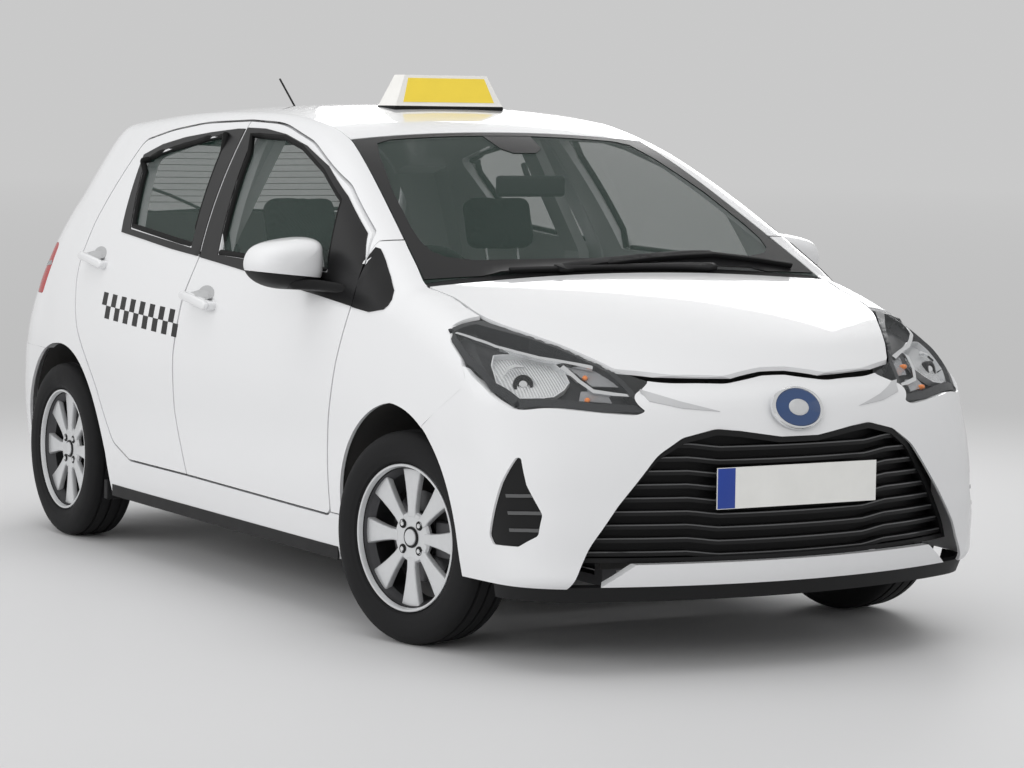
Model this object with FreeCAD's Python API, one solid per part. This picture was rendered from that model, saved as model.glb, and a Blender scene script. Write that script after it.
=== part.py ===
import FreeCAD, Part
import math
import os
from FreeCAD import Vector

# Five-door hatchback taxi with a roof sign, right-hand drive.
# Frame: +X forward, +Y to the car's left, +Z up. Origin on the ground, midway between
# the bumpers. Every length is in millimetres. Right-hand pieces are modelled and the
# left-hand ones mirror them.

# Overall sizes
length = 3945
half_width = 847.5
roof_height = 1506
ground_clearance = 185
wheelbase = 2510
front_axle_x = 1175
rear_axle_x = front_axle_x - wheelbase
nose = length / 2
tail = -length / 2

# Wheels and tyres
tyre_radius = 300
tyre_width = 175
rim_radius = 207
rim_width = 150
bead_radius = 192
wheel_y = 735
spindle_radius = 17
spindle_clearance = 0.05
spoke_count = 8
kingpin_y = 700
kingpin_radius = 9
rest_steer = 12
steering_ratio = 14
liner_near = 10
liner_far = 14
front_liner_y = -490
rear_liner_y = -590
liner_low = 340

# Panels
shut_gap = 7
nose_gap = 8
seam = 0.4
door_thickness = 45
skin_thickness = 10
frame_thickness = 30
roof_thickness = 20
glass_thickness = 5
glass_depth = 9
tailgate_thickness = 32

# Body stations
belt_z = 1000
sill_top = 327
sill_inner_y = 660
floor_z = 200
floor_thickness = 15
seat_gap = 0.3
hinge_y = -837
front_hinge_x = 775
rear_hinge_x = -345
corner_front_x = 1250
corner_rear_x = -1300
screen_base_x = 1095
screen_top_x = 284
screen_base_half = 684
screen_top_half = 519
bonnet_rear_x = 1092
screen_low_x = 1062
fender_base = 780
bumper_top = 643
bonnet_half = 661
roof_rear_x = -1490


def clamp(value, low, high):
    return max(low, min(high, value))


def blend(a, b, radius):
    """Largest of two values, rounded where they are close."""
    near = max(radius - abs(a - b), 0) / radius
    return max(a, b) + near * near * radius / 4


def along(value, rows):
    """Straight-line lookup in rows of (input, output)."""
    if value <= rows[0][0]:
        return rows[0][1]
    for (x0, y0), (x1, y1) in zip(rows, rows[1:]):
        if value <= x1:
            return y0 + (y1 - y0) * (value - x0) / (x1 - x0)
    return rows[-1][1]


# The body's outer surface is where outside() is zero. It rounds together a side, a roof,
# a windscreen, a bonnet, a nose and a tail, each a simple formula.

# height, how far the nose lies behind the foremost point
nose_profile = [(150, 57), (250, 14), (290, 6), (400, 0), (550, 6), (700, 41), (785, 92),
                (900, 182)]
# height, how far the tail lies ahead of the rearmost point
tail_profile = [(150, 40), (250, 10), (450, 0), (700, 28), (900, 60), (1000, 95),
                (1100, 150), (1400, 335), (1500, 400)]


def side_half(x, z):
    front = clamp((x - 300) / 1500, 0, 2)
    rear = clamp((-300 - x) / 1500, 0, 2)
    upper = clamp((z - 560) / 840, 0, 2)
    lower = clamp((560 - z) / 380, 0, 2)
    return half_width - 70 * front**3 - 60 * rear**3 - 262 * upper**2.02 - 45 * lower**2.2


def bonnet_z(x, y):
    run = max(x - 1075, -200)
    crown = 25 + 60 * clamp(run / 787, 0, 2)
    return 1022 - 0.12 * run - 2.25e-4 * run * abs(run) - crown * (y / 650)**2


def roof_z(x, y):
    front = 72 * clamp((x + 350) / 642, 0, 9)**2.2
    rear = 75 * clamp((-350 - x) / 1300, 0, 9)**2
    return roof_height - front - rear - 34 * (abs(y) / 560)**2.2


def screen_z(x, y):
    return 1440 - (x - 292) * 0.525 - 25 * (y / 600)**2


def nose_x(y, z):
    bow = 50 + 15 * clamp((z - 300) / 300, 0, 1)
    return nose - along(z, nose_profile) - bow * (y / 400)**2


def tail_x(y, z):
    bow = 60 + 70 * clamp((z - 700) / 500, 0, 1)
    return tail + along(z, tail_profile) + bow * (y / 500)**2


def outside(x, y, z):
    y = abs(y)
    cabin = blend(z - roof_z(x, y), (z - screen_z(x, y)) * 0.88, 70)
    top = min((z - bonnet_z(x, y)) * 0.95, cabin)
    shoulder = clamp(90 - (z - 950) * 0.12, 45, 90)
    value = blend(y - side_half(x, z), top, shoulder)
    value = blend(value, x - nose_x(y, z), 130)
    return blend(value, tail_x(y, z) - x, 110)


def outward(p):
    e = 2
    n = Vector(outside(p.x + e, p.y, p.z) - outside(p.x - e, p.y, p.z),
               outside(p.x, p.y + e, p.z) - outside(p.x, p.y - e, p.z),
               outside(p.x, p.y, p.z + e) - outside(p.x, p.y, p.z - e))
    return n.normalize()


def reach(start, way):
    """Where a line from inside the body leaves it."""
    near, far = 0, 2500
    for step in range(32):
        mid = (near + far) / 2
        p = start + way * mid
        if outside(p.x, p.y, p.z) < 0:
            near = mid
        else:
            far = mid
    return start + way * near


def spread(low, high, count):
    return [low + (high - low) * i / (count - 1) for i in range(count)]


def roof_edge(x):
    """Half width at the join of the side frame with the roof, screen or bonnet."""
    if x > screen_base_x:
        near = clamp((x - screen_base_x) / 100, 0, 1)
        return screen_base_half + (bonnet_half - screen_base_half) * near
    if x > screen_top_x:
        share = (x - screen_top_x) / (screen_base_x - screen_top_x)
        return screen_top_half + (screen_base_half - screen_top_half) * share
    return screen_top_half - 45 * ((screen_top_x - x) / 1784)**2


def edge_rise(x, base):
    """Steepest sight angle, from a base height on the centre plane, to the roof edge."""
    half = roof_edge(x)
    top = reach(Vector(x, -half, 600), Vector(0, 0, 1))
    return math.atan2(top.z - base, half)


def side_point(station, height, base=belt_z):
    """A point on the right side. Past a corner station, it turns round that corner.

    Heights up to the base are level; above it, 1 to 2 bases is the fan of sight lines
    from the base up to the roof edge.
    """
    x = clamp(station, corner_rear_x, corner_front_x)
    turn = (station - x) / 700
    rise = 0
    z = height
    if height > base:
        z = base
        rise = edge_rise(x, base) * (height - base) / base
    flat = Vector(math.sin(turn), -math.cos(turn), 0)
    way = flat * math.cos(rise) + Vector(0, 0, math.sin(rise))
    return reach(Vector(x, 0, z), way)


def fender_point(station, height):
    return side_point(station, height, fender_base)


def top_point(x, share):
    """A point on top of the roof or the screen, share of the way out to its edge."""
    return reach(Vector(x, share * (roof_edge(x) - seam), 700), Vector(0, 0, 1))


def bonnet_point(run, share):
    """A point on the bonnet: run 0 to 1 backwards to forwards, share -1 to 1 across."""
    front_x = nose - 137 - 100 * share**2
    x = bonnet_rear_x - 8 + (front_x - bonnet_rear_x + 8) * run
    return reach(Vector(x, share * (690 - 235 * run**3), 400), Vector(0, 0, 1))


def lamp_point(turn, rise):
    """A point on the front corner, seen from behind the headlamp, angles in degrees."""
    a = math.radians(turn)
    b = math.radians(rise)
    way = Vector(math.cos(b) * math.cos(a), -math.cos(b) * math.sin(a), math.sin(b))
    return reach(Vector(1350, -300, 600), way)


def tailgate_point(y, height):
    """A point on the tail: 0 to 1.3 fans up from 900 mm, and below 0 runs level down."""
    if height > 0:
        return reach(Vector(corner_rear_x, y, 900), Vector(-math.cos(height), 0, math.sin(height)))
    return reach(Vector(corner_rear_x, y, 900 + 300 * height), Vector(-1, 0, 0))


def nose_point(angle, z):
    way = Vector(math.cos(angle), math.sin(angle), 0)
    return reach(Vector(corner_front_x, 0, z), way)


def tail_point(angle, z):
    way = Vector(-math.cos(angle), math.sin(angle), 0)
    return reach(Vector(corner_rear_x, 0, z), way)


def skin(point, us, vs, outer, inner):
    """A solid between two depths below the body's surface."""
    tops = []
    bases = []
    for u in us:
        row = [point(u, v) for v in vs]
        normals = [outward(p) for p in row]
        tops.append([p - n * outer for p, n in zip(row, normals)])
        bases.append([p - n * inner for p, n in zip(row, normals)])
    return between(tops, bases)


def between(tops, bases):
    """A solid between two grids of points."""
    sheets = []
    for grid in (tops, bases):
        sheet = Part.BSplineSurface()
        sheet.interpolate(grid)
        sheets.append(sheet)
    borders = []
    for sheet in sheets:
        u0, u1, v0, v1 = sheet.bounds()
        borders.append([sheet.uIso(u0), sheet.uIso(u1), sheet.vIso(v0), sheet.vIso(v1)])
    faces = [sheet.toShape() for sheet in sheets]
    for a, b in zip(*borders):
        faces.append(Part.makeRuledSurface(a.toShape(), b.toShape()))
    shell = Part.Shell(faces)
    shell.sewShape()
    solid = Part.Solid(shell)
    if solid.Volume < 0:
        solid.reverse()
    return solid


planes = {
    "side": lambda a, b: Vector(a, 0, b),
    "plan": lambda a, b: Vector(a, b, 0),
    "front": lambda a, b: Vector(0, a, b),
}
normals = {"side": Vector(0, 1, 0), "plan": Vector(0, 0, 1), "front": Vector(1, 0, 0)}


def grown(points, margin):
    """The outline moved outwards by margin, with its rows of (a, b, radius)."""
    area = sum(p[0] * q[1] - q[0] * p[1] for p, q in zip(points, points[1:] + points[:1]))
    sign = 1 if area > 0 else -1
    result = []
    for i, (a, b, radius) in enumerate(points):
        before = points[i - 1]
        after = points[(i + 1) % len(points)]
        u = Vector(a - before[0], b - before[1], 0).normalize()
        w = Vector(after[0] - a, after[1] - b, 0).normalize()
        n1 = Vector(u.y, -u.x, 0) * sign
        n2 = Vector(w.y, -w.x, 0) * sign
        shift = (n1 + n2) * (margin / (1 + n1.dot(n2)))
        bend = sign * (u.x * w.y - u.y * w.x)
        rounded = radius + (margin if bend > 0 else -margin)
        result.append((a + shift.x, b + shift.y, max(rounded, 1) if radius else 0))
    return result


def prism(view, points, low, high, margin=0):
    """An outline of (a, b, corner radius) rows, drawn in a view and pushed through."""
    rows = grown(points, margin) if margin else points
    lift = planes[view]
    edges = []
    last = None
    first = None
    count = len(rows)
    for i, (a, b, radius) in enumerate(rows):
        corner = lift(a, b)
        start = corner
        end = corner
        if radius:
            before = (lift(*rows[i - 1][:2]) - corner).normalize()
            after = (lift(*rows[(i + 1) % count][:2]) - corner).normalize()
            half = before.getAngle(after) / 2
            back = radius / math.tan(half)
            start = corner + before * back
            end = corner + after * back
            bisector = (before + after).normalize()
            middle = corner + bisector * (radius / math.sin(half) - radius)
        if last is not None:
            edges.append(Part.makeLine(last, start))
        else:
            first = start
        if radius:
            edges.append(Part.Arc(start, middle, end).toShape())
        last = end
    if (last - first).Length > 1e-6:
        edges.append(Part.makeLine(last, first))
    face = Part.Face(Part.Wire(edges))
    normal = normals[view]
    face.translate(normal * low)
    return face.extrude(normal * (high - low))


def box(x0, x1, y0, y1, z0, z1):
    return Part.makeBox(x1 - x0, y1 - y0, z1 - z0, Vector(x0, y0, z0))


def soft_box(x0, x1, y0, y1, z0, z1, radius):
    solid = box(x0, x1, y0, y1, z0, z1)
    return solid.makeFillet(radius, solid.Edges)


def rod(start, end, radius):
    return Part.makeCylinder(radius, (end - start).Length, start, end - start)


def mirrored(shape):
    return shape.mirror(Vector(0, 0, 0), Vector(0, 1, 0))


def pair(shape):
    return Part.Compound([shape, mirrored(shape)])


def fused(shapes):
    return shapes[0].fuse(shapes[1:])


# Outlines. Each row is (x, z, corner radius) in side view, (x, y, radius) in plan, or
# (y, z, radius) from the front.

# the shut line between the two doors, from the sill up
pillar_line = [(-225, sill_top, 0), (-245, 400, 0), (-290, 530, 200), (-322, 700, 300),
               (-318, 880, 150), (-268, 1016, 150), (-352, 1448, 0)]
front_door = [(786, sill_top - 10, 30), (796, 600, 300), (812, 760, 400), (842, 940, 200),
              (846, 1060, 50), (793, 1132, 60), (538, 1264, 400), (188, 1385, 600),
              (-100, 1441, 900)] + pillar_line[::-1]
rear_door = pillar_line + [(-680, 1438, 1500), (-920, 1412, 1200), (-1120, 1374, 60),
                           (-1235, 1090, 300), (-1268, 930, 200), (-1180, 740, 300),
                           (-960, 559, 500), (-820, 375, 80), (-690, sill_top, 40)]
front_window = [(-132, 1030, 12), (-258, 1402, 15), (-35, 1398, 250), (125, 1371, 400),
                (356, 1301, 500), (560, 1215, 12), (640, 1012, 12)]
rear_window = [(-352, 1042, 12), (-455, 1402, 15), (-760, 1366, 500), (-1022, 1312, 25),
               (-885, 1084, 15)]
fender_front = [(1325, 627, 0), (1528, 758, 30), (1460, 822, 0), (1390, 860, 0),
                (1350, 900, 0), (1350, 1100, 0)]

front_arch_low = (856, 1486)
rear_arch_low = (-1688, -905)


def arch(x0, x1, top_x, top_z, low_z, margin):
    """A wheel opening pushed through the right side: two rounded haunches on two legs."""
    left = Vector(x0 - margin, 0, low_z)
    right = Vector(x1 + margin, 0, low_z)
    top = Vector(top_x, 0, top_z + margin)
    lean = 0.70
    left_mid = Vector(left.x + (top.x - left.x) * (1 - lean), 0, low_z + (top.z - low_z) * lean)
    right_mid = Vector(right.x + (top.x - right.x) * (1 - lean), 0,
                       low_z + (top.z - low_z) * lean)
    foot_left = Vector(left.x, 0, 0)
    foot_right = Vector(right.x, 0, 0)
    edges = [Part.makeLine(foot_left, left), Part.Arc(left, left_mid, top).toShape(),
             Part.Arc(top, right_mid, right).toShape(), Part.makeLine(right, foot_right),
             Part.makeLine(foot_right, foot_left)]
    face = Part.Face(Part.Wire(edges))
    face.translate(Vector(0, -1000, 0))
    return face.extrude(Vector(0, 520, 0))


def front_arch(margin=0):
    return arch(front_arch_low[0], front_arch_low[1], 1150, 674, 330, margin)


def rear_arch(margin=0):
    return arch(rear_arch_low[0], rear_arch_low[1], -1362, 668, 330, margin)


def fan(low, high, count):
    """Heights for side_point above the belt, low and high as shares of the fan."""
    return [belt_z * (1 + low + (high - low) * i / (count - 1)) for i in range(count)]


def side_y(x, z):
    """The right side's outer surface, straight out from the centre plane."""
    return reach(Vector(x, 0, z), Vector(0, -1, 0)).y


def swing_room(line, hinge_x, lead):
    """What a door's trailing edge gives up so that it clears its neighbour as it opens.

    The line is rows of (x, z) up the edge. The edge travels square to its line to the
    hinge, so the cut slants by that slope.
    """
    sections = []
    for x, z in line:
        y = side_y(x, z)
        slope = (y - hinge_y) / (hinge_x - x) + 0.03
        near = Vector(x + lead - slope * 20, y - 20, z)
        deep = Vector(x + lead + slope * 110, y + 110, z)
        back = Vector(-200, 0, 0)
        sections.append(Part.makePolygon([near, deep, deep + back, near + back, near]))
    return Part.makeLoft(sections, True, True)


os.makedirs("parts", exist_ok=True)
pieces = {}

# Body sides: sill, pillars, cant rail and rear quarter with its wheelhouse, as one piece
# a side, with the doorway cut out and a post behind the shut line
opening_front = prism("side", front_door, -1000, -300, shut_gap / 2)
opening_rear = prism("side", rear_door, -1000, -300, shut_gap / 2)
side_heights = spread(ground_clearance + 5, belt_z - 54, 15) + fan(0, 1, 12)
outer_side = skin(side_point, spread(-2100, 1085, 34), side_heights, 0, frame_thickness)
inner_quarter = skin(side_point, spread(-1480, -1150, 6),
                     [640, 740, 840, 930, 1000] + fan(0.1, 0.6, 4), frame_thickness - 3, 85)
sill = box(-860, 838, -800, -sill_inner_y, 207, sill_top - 14)
tail_edge = [(-545, 1520, 0), (-556, 1400, 0), (-640, 1100, 0), (-664, 1010, 0),
             (-600, 900, 60), (-560, 700, 0), (-540, bumper_top + 5, 0)]
tail_outline = tail_edge + [(-y, z, r) for y, z, r in tail_edge[::-1]]
tail_opening = prism("front", tail_outline, -2100, roof_rear_x, shut_gap)
lamp_outline_rear = [(-1530, 1008, 15), (-1586, 828, 15), (-2100, 828, 0), (-2100, 1008, 0)]
tail_lamp_room = prism("side", lamp_outline_rear, -1000, 0)
fender_room = prism("side", [(780, sill_top - 3, 0), (812, 760, 0), (842, 940, 0),
                             (848, 1040, 0), (832, 1112, 0), (893, 1120, 0), (1200, 1300, 0),
                             (1200, sill_top - 3, 0)], -1000, -300)
bumper_room = prism("side", [(-2200, 100, 0), (-2200, bumper_top, 0), (-1200, bumper_top, 0),
                             (-1200, 100, 0)], -1000, 0)
across = spread(-1, 1, 13)
wider = [1.001 * share for share in across]
roof_room = skin(top_point, spread(roof_rear_x - 40, screen_top_x, 14), wider, -10,
                 roof_thickness + seam)
screen_room = skin(top_point, spread(screen_top_x - 10, screen_low_x + 20, 14), wider, -10,
                   2 + glass_thickness + seam)
post = prism("front", [(-700, 260, 0), (-670, 260, 0), (-650, 1016, 0), (-500, 1300, 0),
                       (-445, 1400, 0), (-445, 1458, 0), (-485, 1458, 0), (-485, 1400, 0),
                       (-540, 1300, 0), (-690, 1016, 0)], -395, -300)
post = post.fuse(box(-395, -300, -515, -445, 1452, 1458)).cut(roof_room)
hinge_post = prism("front", [(-765, 300, 0), (-700, 300, 0), (-650, 1130, 0), (-705, 1130, 0),
                             (-705, 1000, 0), (-765, 640, 0)], 852, 878)
hinge_foot = prism("front", [(-765, 300, 0), (-700, 300, 0), (-700, 620, 0), (-765, 620, 0)],
                   800, 878)
fender_rows = spread(290, fender_base, 9) + [fender_base * (1 + t) for t in spread(0.1, 1, 10)]
front_shield = skin(fender_point, spread(765, 1540, 14), fender_rows, -20,
                    skin_thickness + 2 * seam)
hinge_post = hinge_post.fuse(hinge_foot).cut(front_arch(liner_far + seam)).cut(front_shield)
striker = rod(Vector(-305, -690, 700), Vector(-305, -830, 700), 8)
striker = striker.cut(skin(side_point, spread(-360, -250, 5), spread(640, 760, 5), -20,
                           door_thickness + seat_gap))
rear_striker = skin(side_point, spread(-1310, -1225, 5), spread(860, 940, 5),
                    door_thickness + seat_gap, door_thickness + 18)

side = outer_side
for cutter in (opening_front, opening_rear, tail_opening, fender_room, rear_arch(),
               front_arch(), bumper_room, tail_lamp_room):
    side = side.cut(cutter)
side = max(side.Solids, key=lambda s: s.Volume)
side = side.cut(roof_room).cut(screen_room)
print("side after roof", side.isValid(), len(side.Solids), round(side.Volume / 1e6, 2))
side = max(side.Solids, key=lambda s: s.Volume)
inner_quarter = inner_quarter.cut(opening_rear).cut(tail_opening)
inner_quarter = inner_quarter.cut(rear_arch(liner_far + seam)).cut(roof_room)
jack_pads = [box(x - 40, x + 40, -740, -680, 195, 210) for x in (-620, 620)]
side = fused([side, inner_quarter, sill, post, striker, rear_striker, hinge_post] + jack_pads)
roof = skin(top_point, spread(roof_rear_x, screen_top_x - seam, 14), across, 0, roof_thickness)
side = side.cut(rear_arch()).cut(roof)
side = max(side.Solids, key=lambda s: s.Volume)
print("side frame", side.isValid(), len(side.Solids), round(side.Volume / 1e6, 1))
pieces["side_frames"] = pair(side)

# Roof, screen and cowl
pieces["roof_panel"] = roof
pieces["windscreen"] = skin(top_point, spread(screen_top_x, screen_low_x - seam, 14), across,
                            2, 2 + glass_thickness)
pieces["cowl"] = skin(top_point, spread(screen_low_x, bonnet_rear_x - 12, 3), across, 3, 12)

# Doors with cut windows, their pulls and their glass
front_edge = swing_room([(-225, 300), (-290, 530), (-320, 700), (-314, 880), (-270, 1016),
                         (-306, 1210), (-356, 1465)], front_hinge_x, shut_gap / 2)
rear_edge = swing_room([(-1268, 880), (-1268, 930), (-1235, 1090), (-1178, 1230),
                        (-1112, 1395)], rear_hinge_x, shut_gap / 2)
doors = {"front": (front_door, front_window, spread(-345, 870, 15), -150, 884, 8, front_edge),
         "rear": (rear_door, rear_window, spread(-1310, -215, 14), -1095, 966, 8, rear_edge)}
door_heights = spread(sill_top - 25, belt_z - 54, 13) + fan(0, 0.97, 12)
for place, (outline, window, stations, pull_x, pull_z, pull_tilt, edge) in doors.items():
    slab = skin(side_point, stations, door_heights, 0, door_thickness)
    door = slab.common(prism("side", outline, -1000, -300, -shut_gap / 2))
    door = door.cut(prism("side", window, -1000, -300)).cut(edge)
    face = side_point(pull_x, pull_z)
    pull = soft_box(-95, 95, -30, 10, -14, 14, 9)
    pull = pull.cut(soft_box(-70, 70, -14, 40, -40, 40, 6))
    pull.rotate(Vector(0, 0, 0), Vector(0, 1, 0), pull_tilt)
    pull.translate(face)
    door = door.fuse(pull)
    pane = skin(side_point, stations, door_heights, glass_depth, glass_depth + glass_thickness)
    glass = pane.common(prism("side", window, -1000, -300, -seam))
    print(place, "door", door.isValid(), len(door.Solids), glass.isValid(), len(glass.Solids))
    for hand, turned in (("right", lambda s: s), ("left", mirrored)):
        pieces["door_" + place + "_" + hand] = turned(door)
        pieces["door_glass_" + place + "_" + hand] = turned(glass)

# Door mirrors: a rounded housing on a foot that stands on the front door
mirror = soft_box(540, 655, -985, -820, 975, 1115, 40)
foot = prism("plan", [(600, -850, 0), (690, -720, 0), (800, -720, 0), (770, -800, 0),
                      (655, -880, 0)], 945, 985)
shield = skin(side_point, spread(560, 860, 8), [900, 940, 980] + fan(0, 0.4, 4), -0.3, 90)
mirror = fused([mirror, foot.cut(shield)])
mirror = max(mirror.Solids, key=lambda s: s.Volume)
pieces["mirror_right"] = mirror
pieces["mirror_left"] = mirrored(mirror)

# Bonnet
bonnet_side = [(bonnet_rear_x, -676, 0), (1110, -675, 0), (1200, -655, 0), (1371, -655, 300),
               (1520, -573, 300), (1640, -505, 300), (1722, -452, 40), (1786, -320, 300),
               (1822, -165, 100), (1806, -40, 60)]
bonnet_outline = bonnet_side + [(x, -y, r) for x, y, r in bonnet_side[::-1]]
bonnet = skin(bonnet_point, spread(0, 1, 16), across, 0, skin_thickness)
bonnet = bonnet.common(prism("plan", bonnet_outline, 500, 1200))
print("bonnet", bonnet.isValid(), len(bonnet.Solids))
pieces["bonnet"] = bonnet
bonnet_room = prism("plan", bonnet_outline, 600, 1200, nose_gap)

# Front fenders
fender_outline = [(789, sill_top, 0), (800, 600, 0), (815, 760, 0), (845, 940, 0),
                  (851, 1040, 0), (836, 1109, 0), (893, 1117, 0), (1200, 1297, 0),
                  (1350, 1100, 0), (1350, 900, 0), (1390, 860, 0), (1460, 822, 0),
                  (1528, 758, 30), (1325, 627, 0), (1300, sill_top, 0)]
fender = skin(fender_point, spread(765, 1540, 14), fender_rows, 0, skin_thickness)
fender = fender.common(prism("side", fender_outline, -1000, -300, -seam)).cut(front_arch())
fender = fender.cut(bonnet_room).cut(pieces["cowl"]).cut(pieces["windscreen"])
print("fender", fender.isValid(), len(fender.Solids), round(fender.Volume / 1e6, 2))
pieces["front_fenders"] = pair(fender)

# Headlamps
lamp_outline = [(1350, 900, 0), (1372, 930, 0), (1450, 905, 0), (1530, 878, 0), (1640, 838, 0),
                (1724, 801, 0), (1795, 750, 0), (1858, 683, 8), (1804, 692, 0), (1735, 706, 60),
                (1687, 695, 60), (1606, 738, 100), (1528, 780, 0), (1460, 822, 0), (1390, 860, 0)]
lamp_room = prism("side", lamp_outline, -1000, -120)
lamp = skin(lamp_point, spread(2, 100, 14), spread(3, 50, 9), 1, 50)
lamp = lamp.common(prism("side", lamp_outline, -1000, -120, -seam)).cut(bonnet_room)
lamp = max(lamp.Solids, key=lambda s: s.Volume)
print("lamp", lamp.isValid(), round(lamp.Volume / 1e6, 2))
pieces["headlamps"] = pair(lamp)

# Front bumper with its mouth, fog recesses, louvres, bar and splitter
mouth_side = [(-648, 228, 0), (-600, 345, 200), (-525, 452, 200), (-417, 583, 120),
              (-345, 628, 60), (-250, 650, 80), (-180, 643, 0), (-60, 625, 60)]
mouth = mouth_side + [(-y, z, r) for y, z, r in mouth_side[::-1]]
fog_outline = [(1719, 590, 8), (1685, 505, 0), (1643, 362, 15), (1656, 338, 12),
               (1739, 340, 12), (1783, 372, 15), (1786, 428, 30), (1747, 504, 0)]
fog_room = prism("side", fog_outline, -1000, -500)
bumper_edge = [(1200, sill_top, 0), (1300, sill_top, 0), (1325, 627, 0), (1528, 758, 30),
               (1460, 822, 0), (1460, 1100, 0), (1200, 1100, 0)]
bumper = skin(nose_point, spread(-1.5, 1.5, 40),
              spread(230, 800, 11), 0, skin_thickness)
bumper_cutters = [front_arch(), prism("side", bumper_edge, -1000, -300), lamp_room, fog_room]
for cutter in bumper_cutters + [mirrored(c) for c in bumper_cutters]:
    bumper = bumper.cut(cutter)
bumper = bumper.cut(bonnet_room).cut(prism("front", mouth, 1600, 2100))
print("bumper", bumper.isValid(), [round(s.Volume / 1e6, 2) for s in bumper.Solids])
pieces["front_bumper"] = max(bumper.Solids, key=lambda s: s.Volume)

grille_x = 1936
grille_half = 640
nose_bow = 65 / 400**2


def crescent(front_x, depth, z0, z1):
    """A bowed bar across the nose, flat above and below."""
    end_x = front_x - nose_bow * grille_half**2
    corners = [Vector(x, y, z0) for x, y in ((end_x, -grille_half), (end_x, grille_half),
                                            (end_x - depth, grille_half),
                                            (end_x - depth, -grille_half))]
    outer = Part.Arc(corners[0], Vector(front_x, 0, z0), corners[1]).toShape()
    inner = Part.Arc(corners[2], Vector(front_x - depth, 0, z0), corners[3]).toShape()
    ends = [Part.makeLine(corners[1], corners[2]), Part.makeLine(corners[3], corners[0])]
    face = Part.Face(Part.Wire([outer, ends[0], inner, ends[1]]))
    return face.extrude(Vector(0, 0, z1 - z0))


mouth_low = 296
slat_count = 9
slat_pitch = 36
slat_height = 13
mouth_room = prism("front", mouth, 1600, 2100, -seam).common(box(1600, 2100, -640, 640,
                                                                 mouth_low, 700))
mouth_core = prism("front", mouth, 1600, 2100, -16).common(box(1600, 2100, -640, 640,
                                                               mouth_low + 12, 700))
rim = crescent(grille_x + 8, 50, 285, 700).common(mouth_room).cut(mouth_core)
backing = crescent(grille_x - 36, 8, 285, 700).common(mouth_room)
slats = []
for i in range(slat_count):
    z = mouth_low + 16 + slat_pitch * i
    low = [(0, z - 10, 0), (240, z - 10, 0), (320, z, 0), (grille_half, z, 0)]
    high = [(y, h + slat_height, 0) for y, h, r in low]
    rows = low + high[::-1] + [(-y, h, 0) for y, h, r in high[1:]]
    rows += [(-y, h, 0) for y, h, r in low[:0:-1]]
    slats.append(prism("front", rows, 1600, 2100).common(crescent(grille_x, 36, 280, 700)))
slats = [s.common(mouth_room) for s in slats]
plinth = box(1892, 1938, -235, 235, 440, 545)
grille = fused([rim, backing, plinth] + slats)
print("grille", grille.isValid(), len(grille.Solids))
pieces["grille"] = grille
bar_ends = [(-578, 226, 0), (-470, 304, 80), (470, 304, 80), (578, 226, 0)]
bar = skin(nose_point, spread(-0.82, 0.82, 22), spread(236, mouth_low + 4, 4), -3, 26)
bar = bar.common(prism("front", bar_ends, 1600, 2100))
bar = bar.cut(box(1600, 2100, -700, 700, mouth_low - seam, 400))
pieces["lower_bar"] = bar.common(prism("front", mouth, 1600, 2100, -seam))
pieces["splitter"] = skin(nose_point, spread(-1.12, 1.12, 28), [188, 200, 215, 229.6], 8, 24)
bezel = skin(nose_point, spread(-1.25, -0.85, 8), [325, 400, 480, 550, 600], 6, 30)
bezel = bezel.common(prism("side", fog_outline, -1000, -500, -seam))
pieces["fog_bezels"] = pair(bezel)
pieces["number_plate_front"] = box(1938.3, 1942, -260, 260, 436.5, 547.5)

# Tailgate with its glass, plate and lamps, and the rear bumper
tail_heights = spread(-0.9, -0.1, 5) + spread(0.05, 1.35, 14)
tail_ys = spread(-680, 680, 17)
tailgate = skin(tailgate_point, tail_ys, tail_heights, 0, tailgate_thickness)
tailgate = tailgate.common(prism("front", tail_outline, -2100, roof_rear_x - shut_gap - 1))
rear_glass_side = [(-455, 1385, 40), (-548, 1105, 50)]
rear_glass = rear_glass_side + [(-y, z, r) for y, z, r in rear_glass_side[::-1]]
tailgate = tailgate.cut(prism("front", rear_glass, -2100, -1400))
draft_rows = []
for y, z in ((-664, 985), (-661, 1010), (-637, 1100), (-553, 1400), (-543, 1475)):
    x = reach(Vector(corner_rear_x, y, z), Vector(-1, 0, 0)).x
    near = Vector(x - 30, y - 12, z)
    deep = Vector(x + 90, y + 24, z)
    out = Vector(0, -100, 0)
    draft_rows.append(Part.makePolygon([near, deep, deep + out, near + out, near]))
draft = Part.makeLoft(draft_rows, True, True)
tailgate = tailgate.cut(draft).cut(mirrored(draft))
pane = skin(tailgate_point, tail_ys, tail_heights, 4, 4 + glass_thickness)
print("tailgate", tailgate.isValid(), len(tailgate.Solids))
pieces["tailgate"] = tailgate
pieces["tailgate_glass"] = pane.common(prism("front", rear_glass, -2100, -1400, -seam))
plate = Part.makeBox(4, 520, 111, Vector(0, -260, -55))
plate.rotate(Vector(0, 0, 0), Vector(0, 1, 0), 9)
plate.translate(tailgate_point(0, -0.35) - Vector(4.7, 0, 0))
pieces["number_plate_rear"] = plate
tail_lamp = skin(side_point, spread(-2150, -1450, 12),
                 spread(800, belt_z, 5) + [belt_z * 1.065], 1, 40)
tail_lamp = tail_lamp.common(prism("side", lamp_outline_rear, -1000, 0, -seam)).cut(tail_opening)
print("tail lamp", tail_lamp.isValid(), len(tail_lamp.Solids))
pieces["tail_lamps"] = pair(tail_lamp)
rear_bumper = skin(tail_point, spread(-1.45, 1.45, 34), spread(205, bumper_top - seam, 8),
                   0, skin_thickness)
rear_bumper = rear_bumper.cut(rear_arch()).cut(mirrored(rear_arch()))
pieces["rear_bumper"] = rear_bumper

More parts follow.
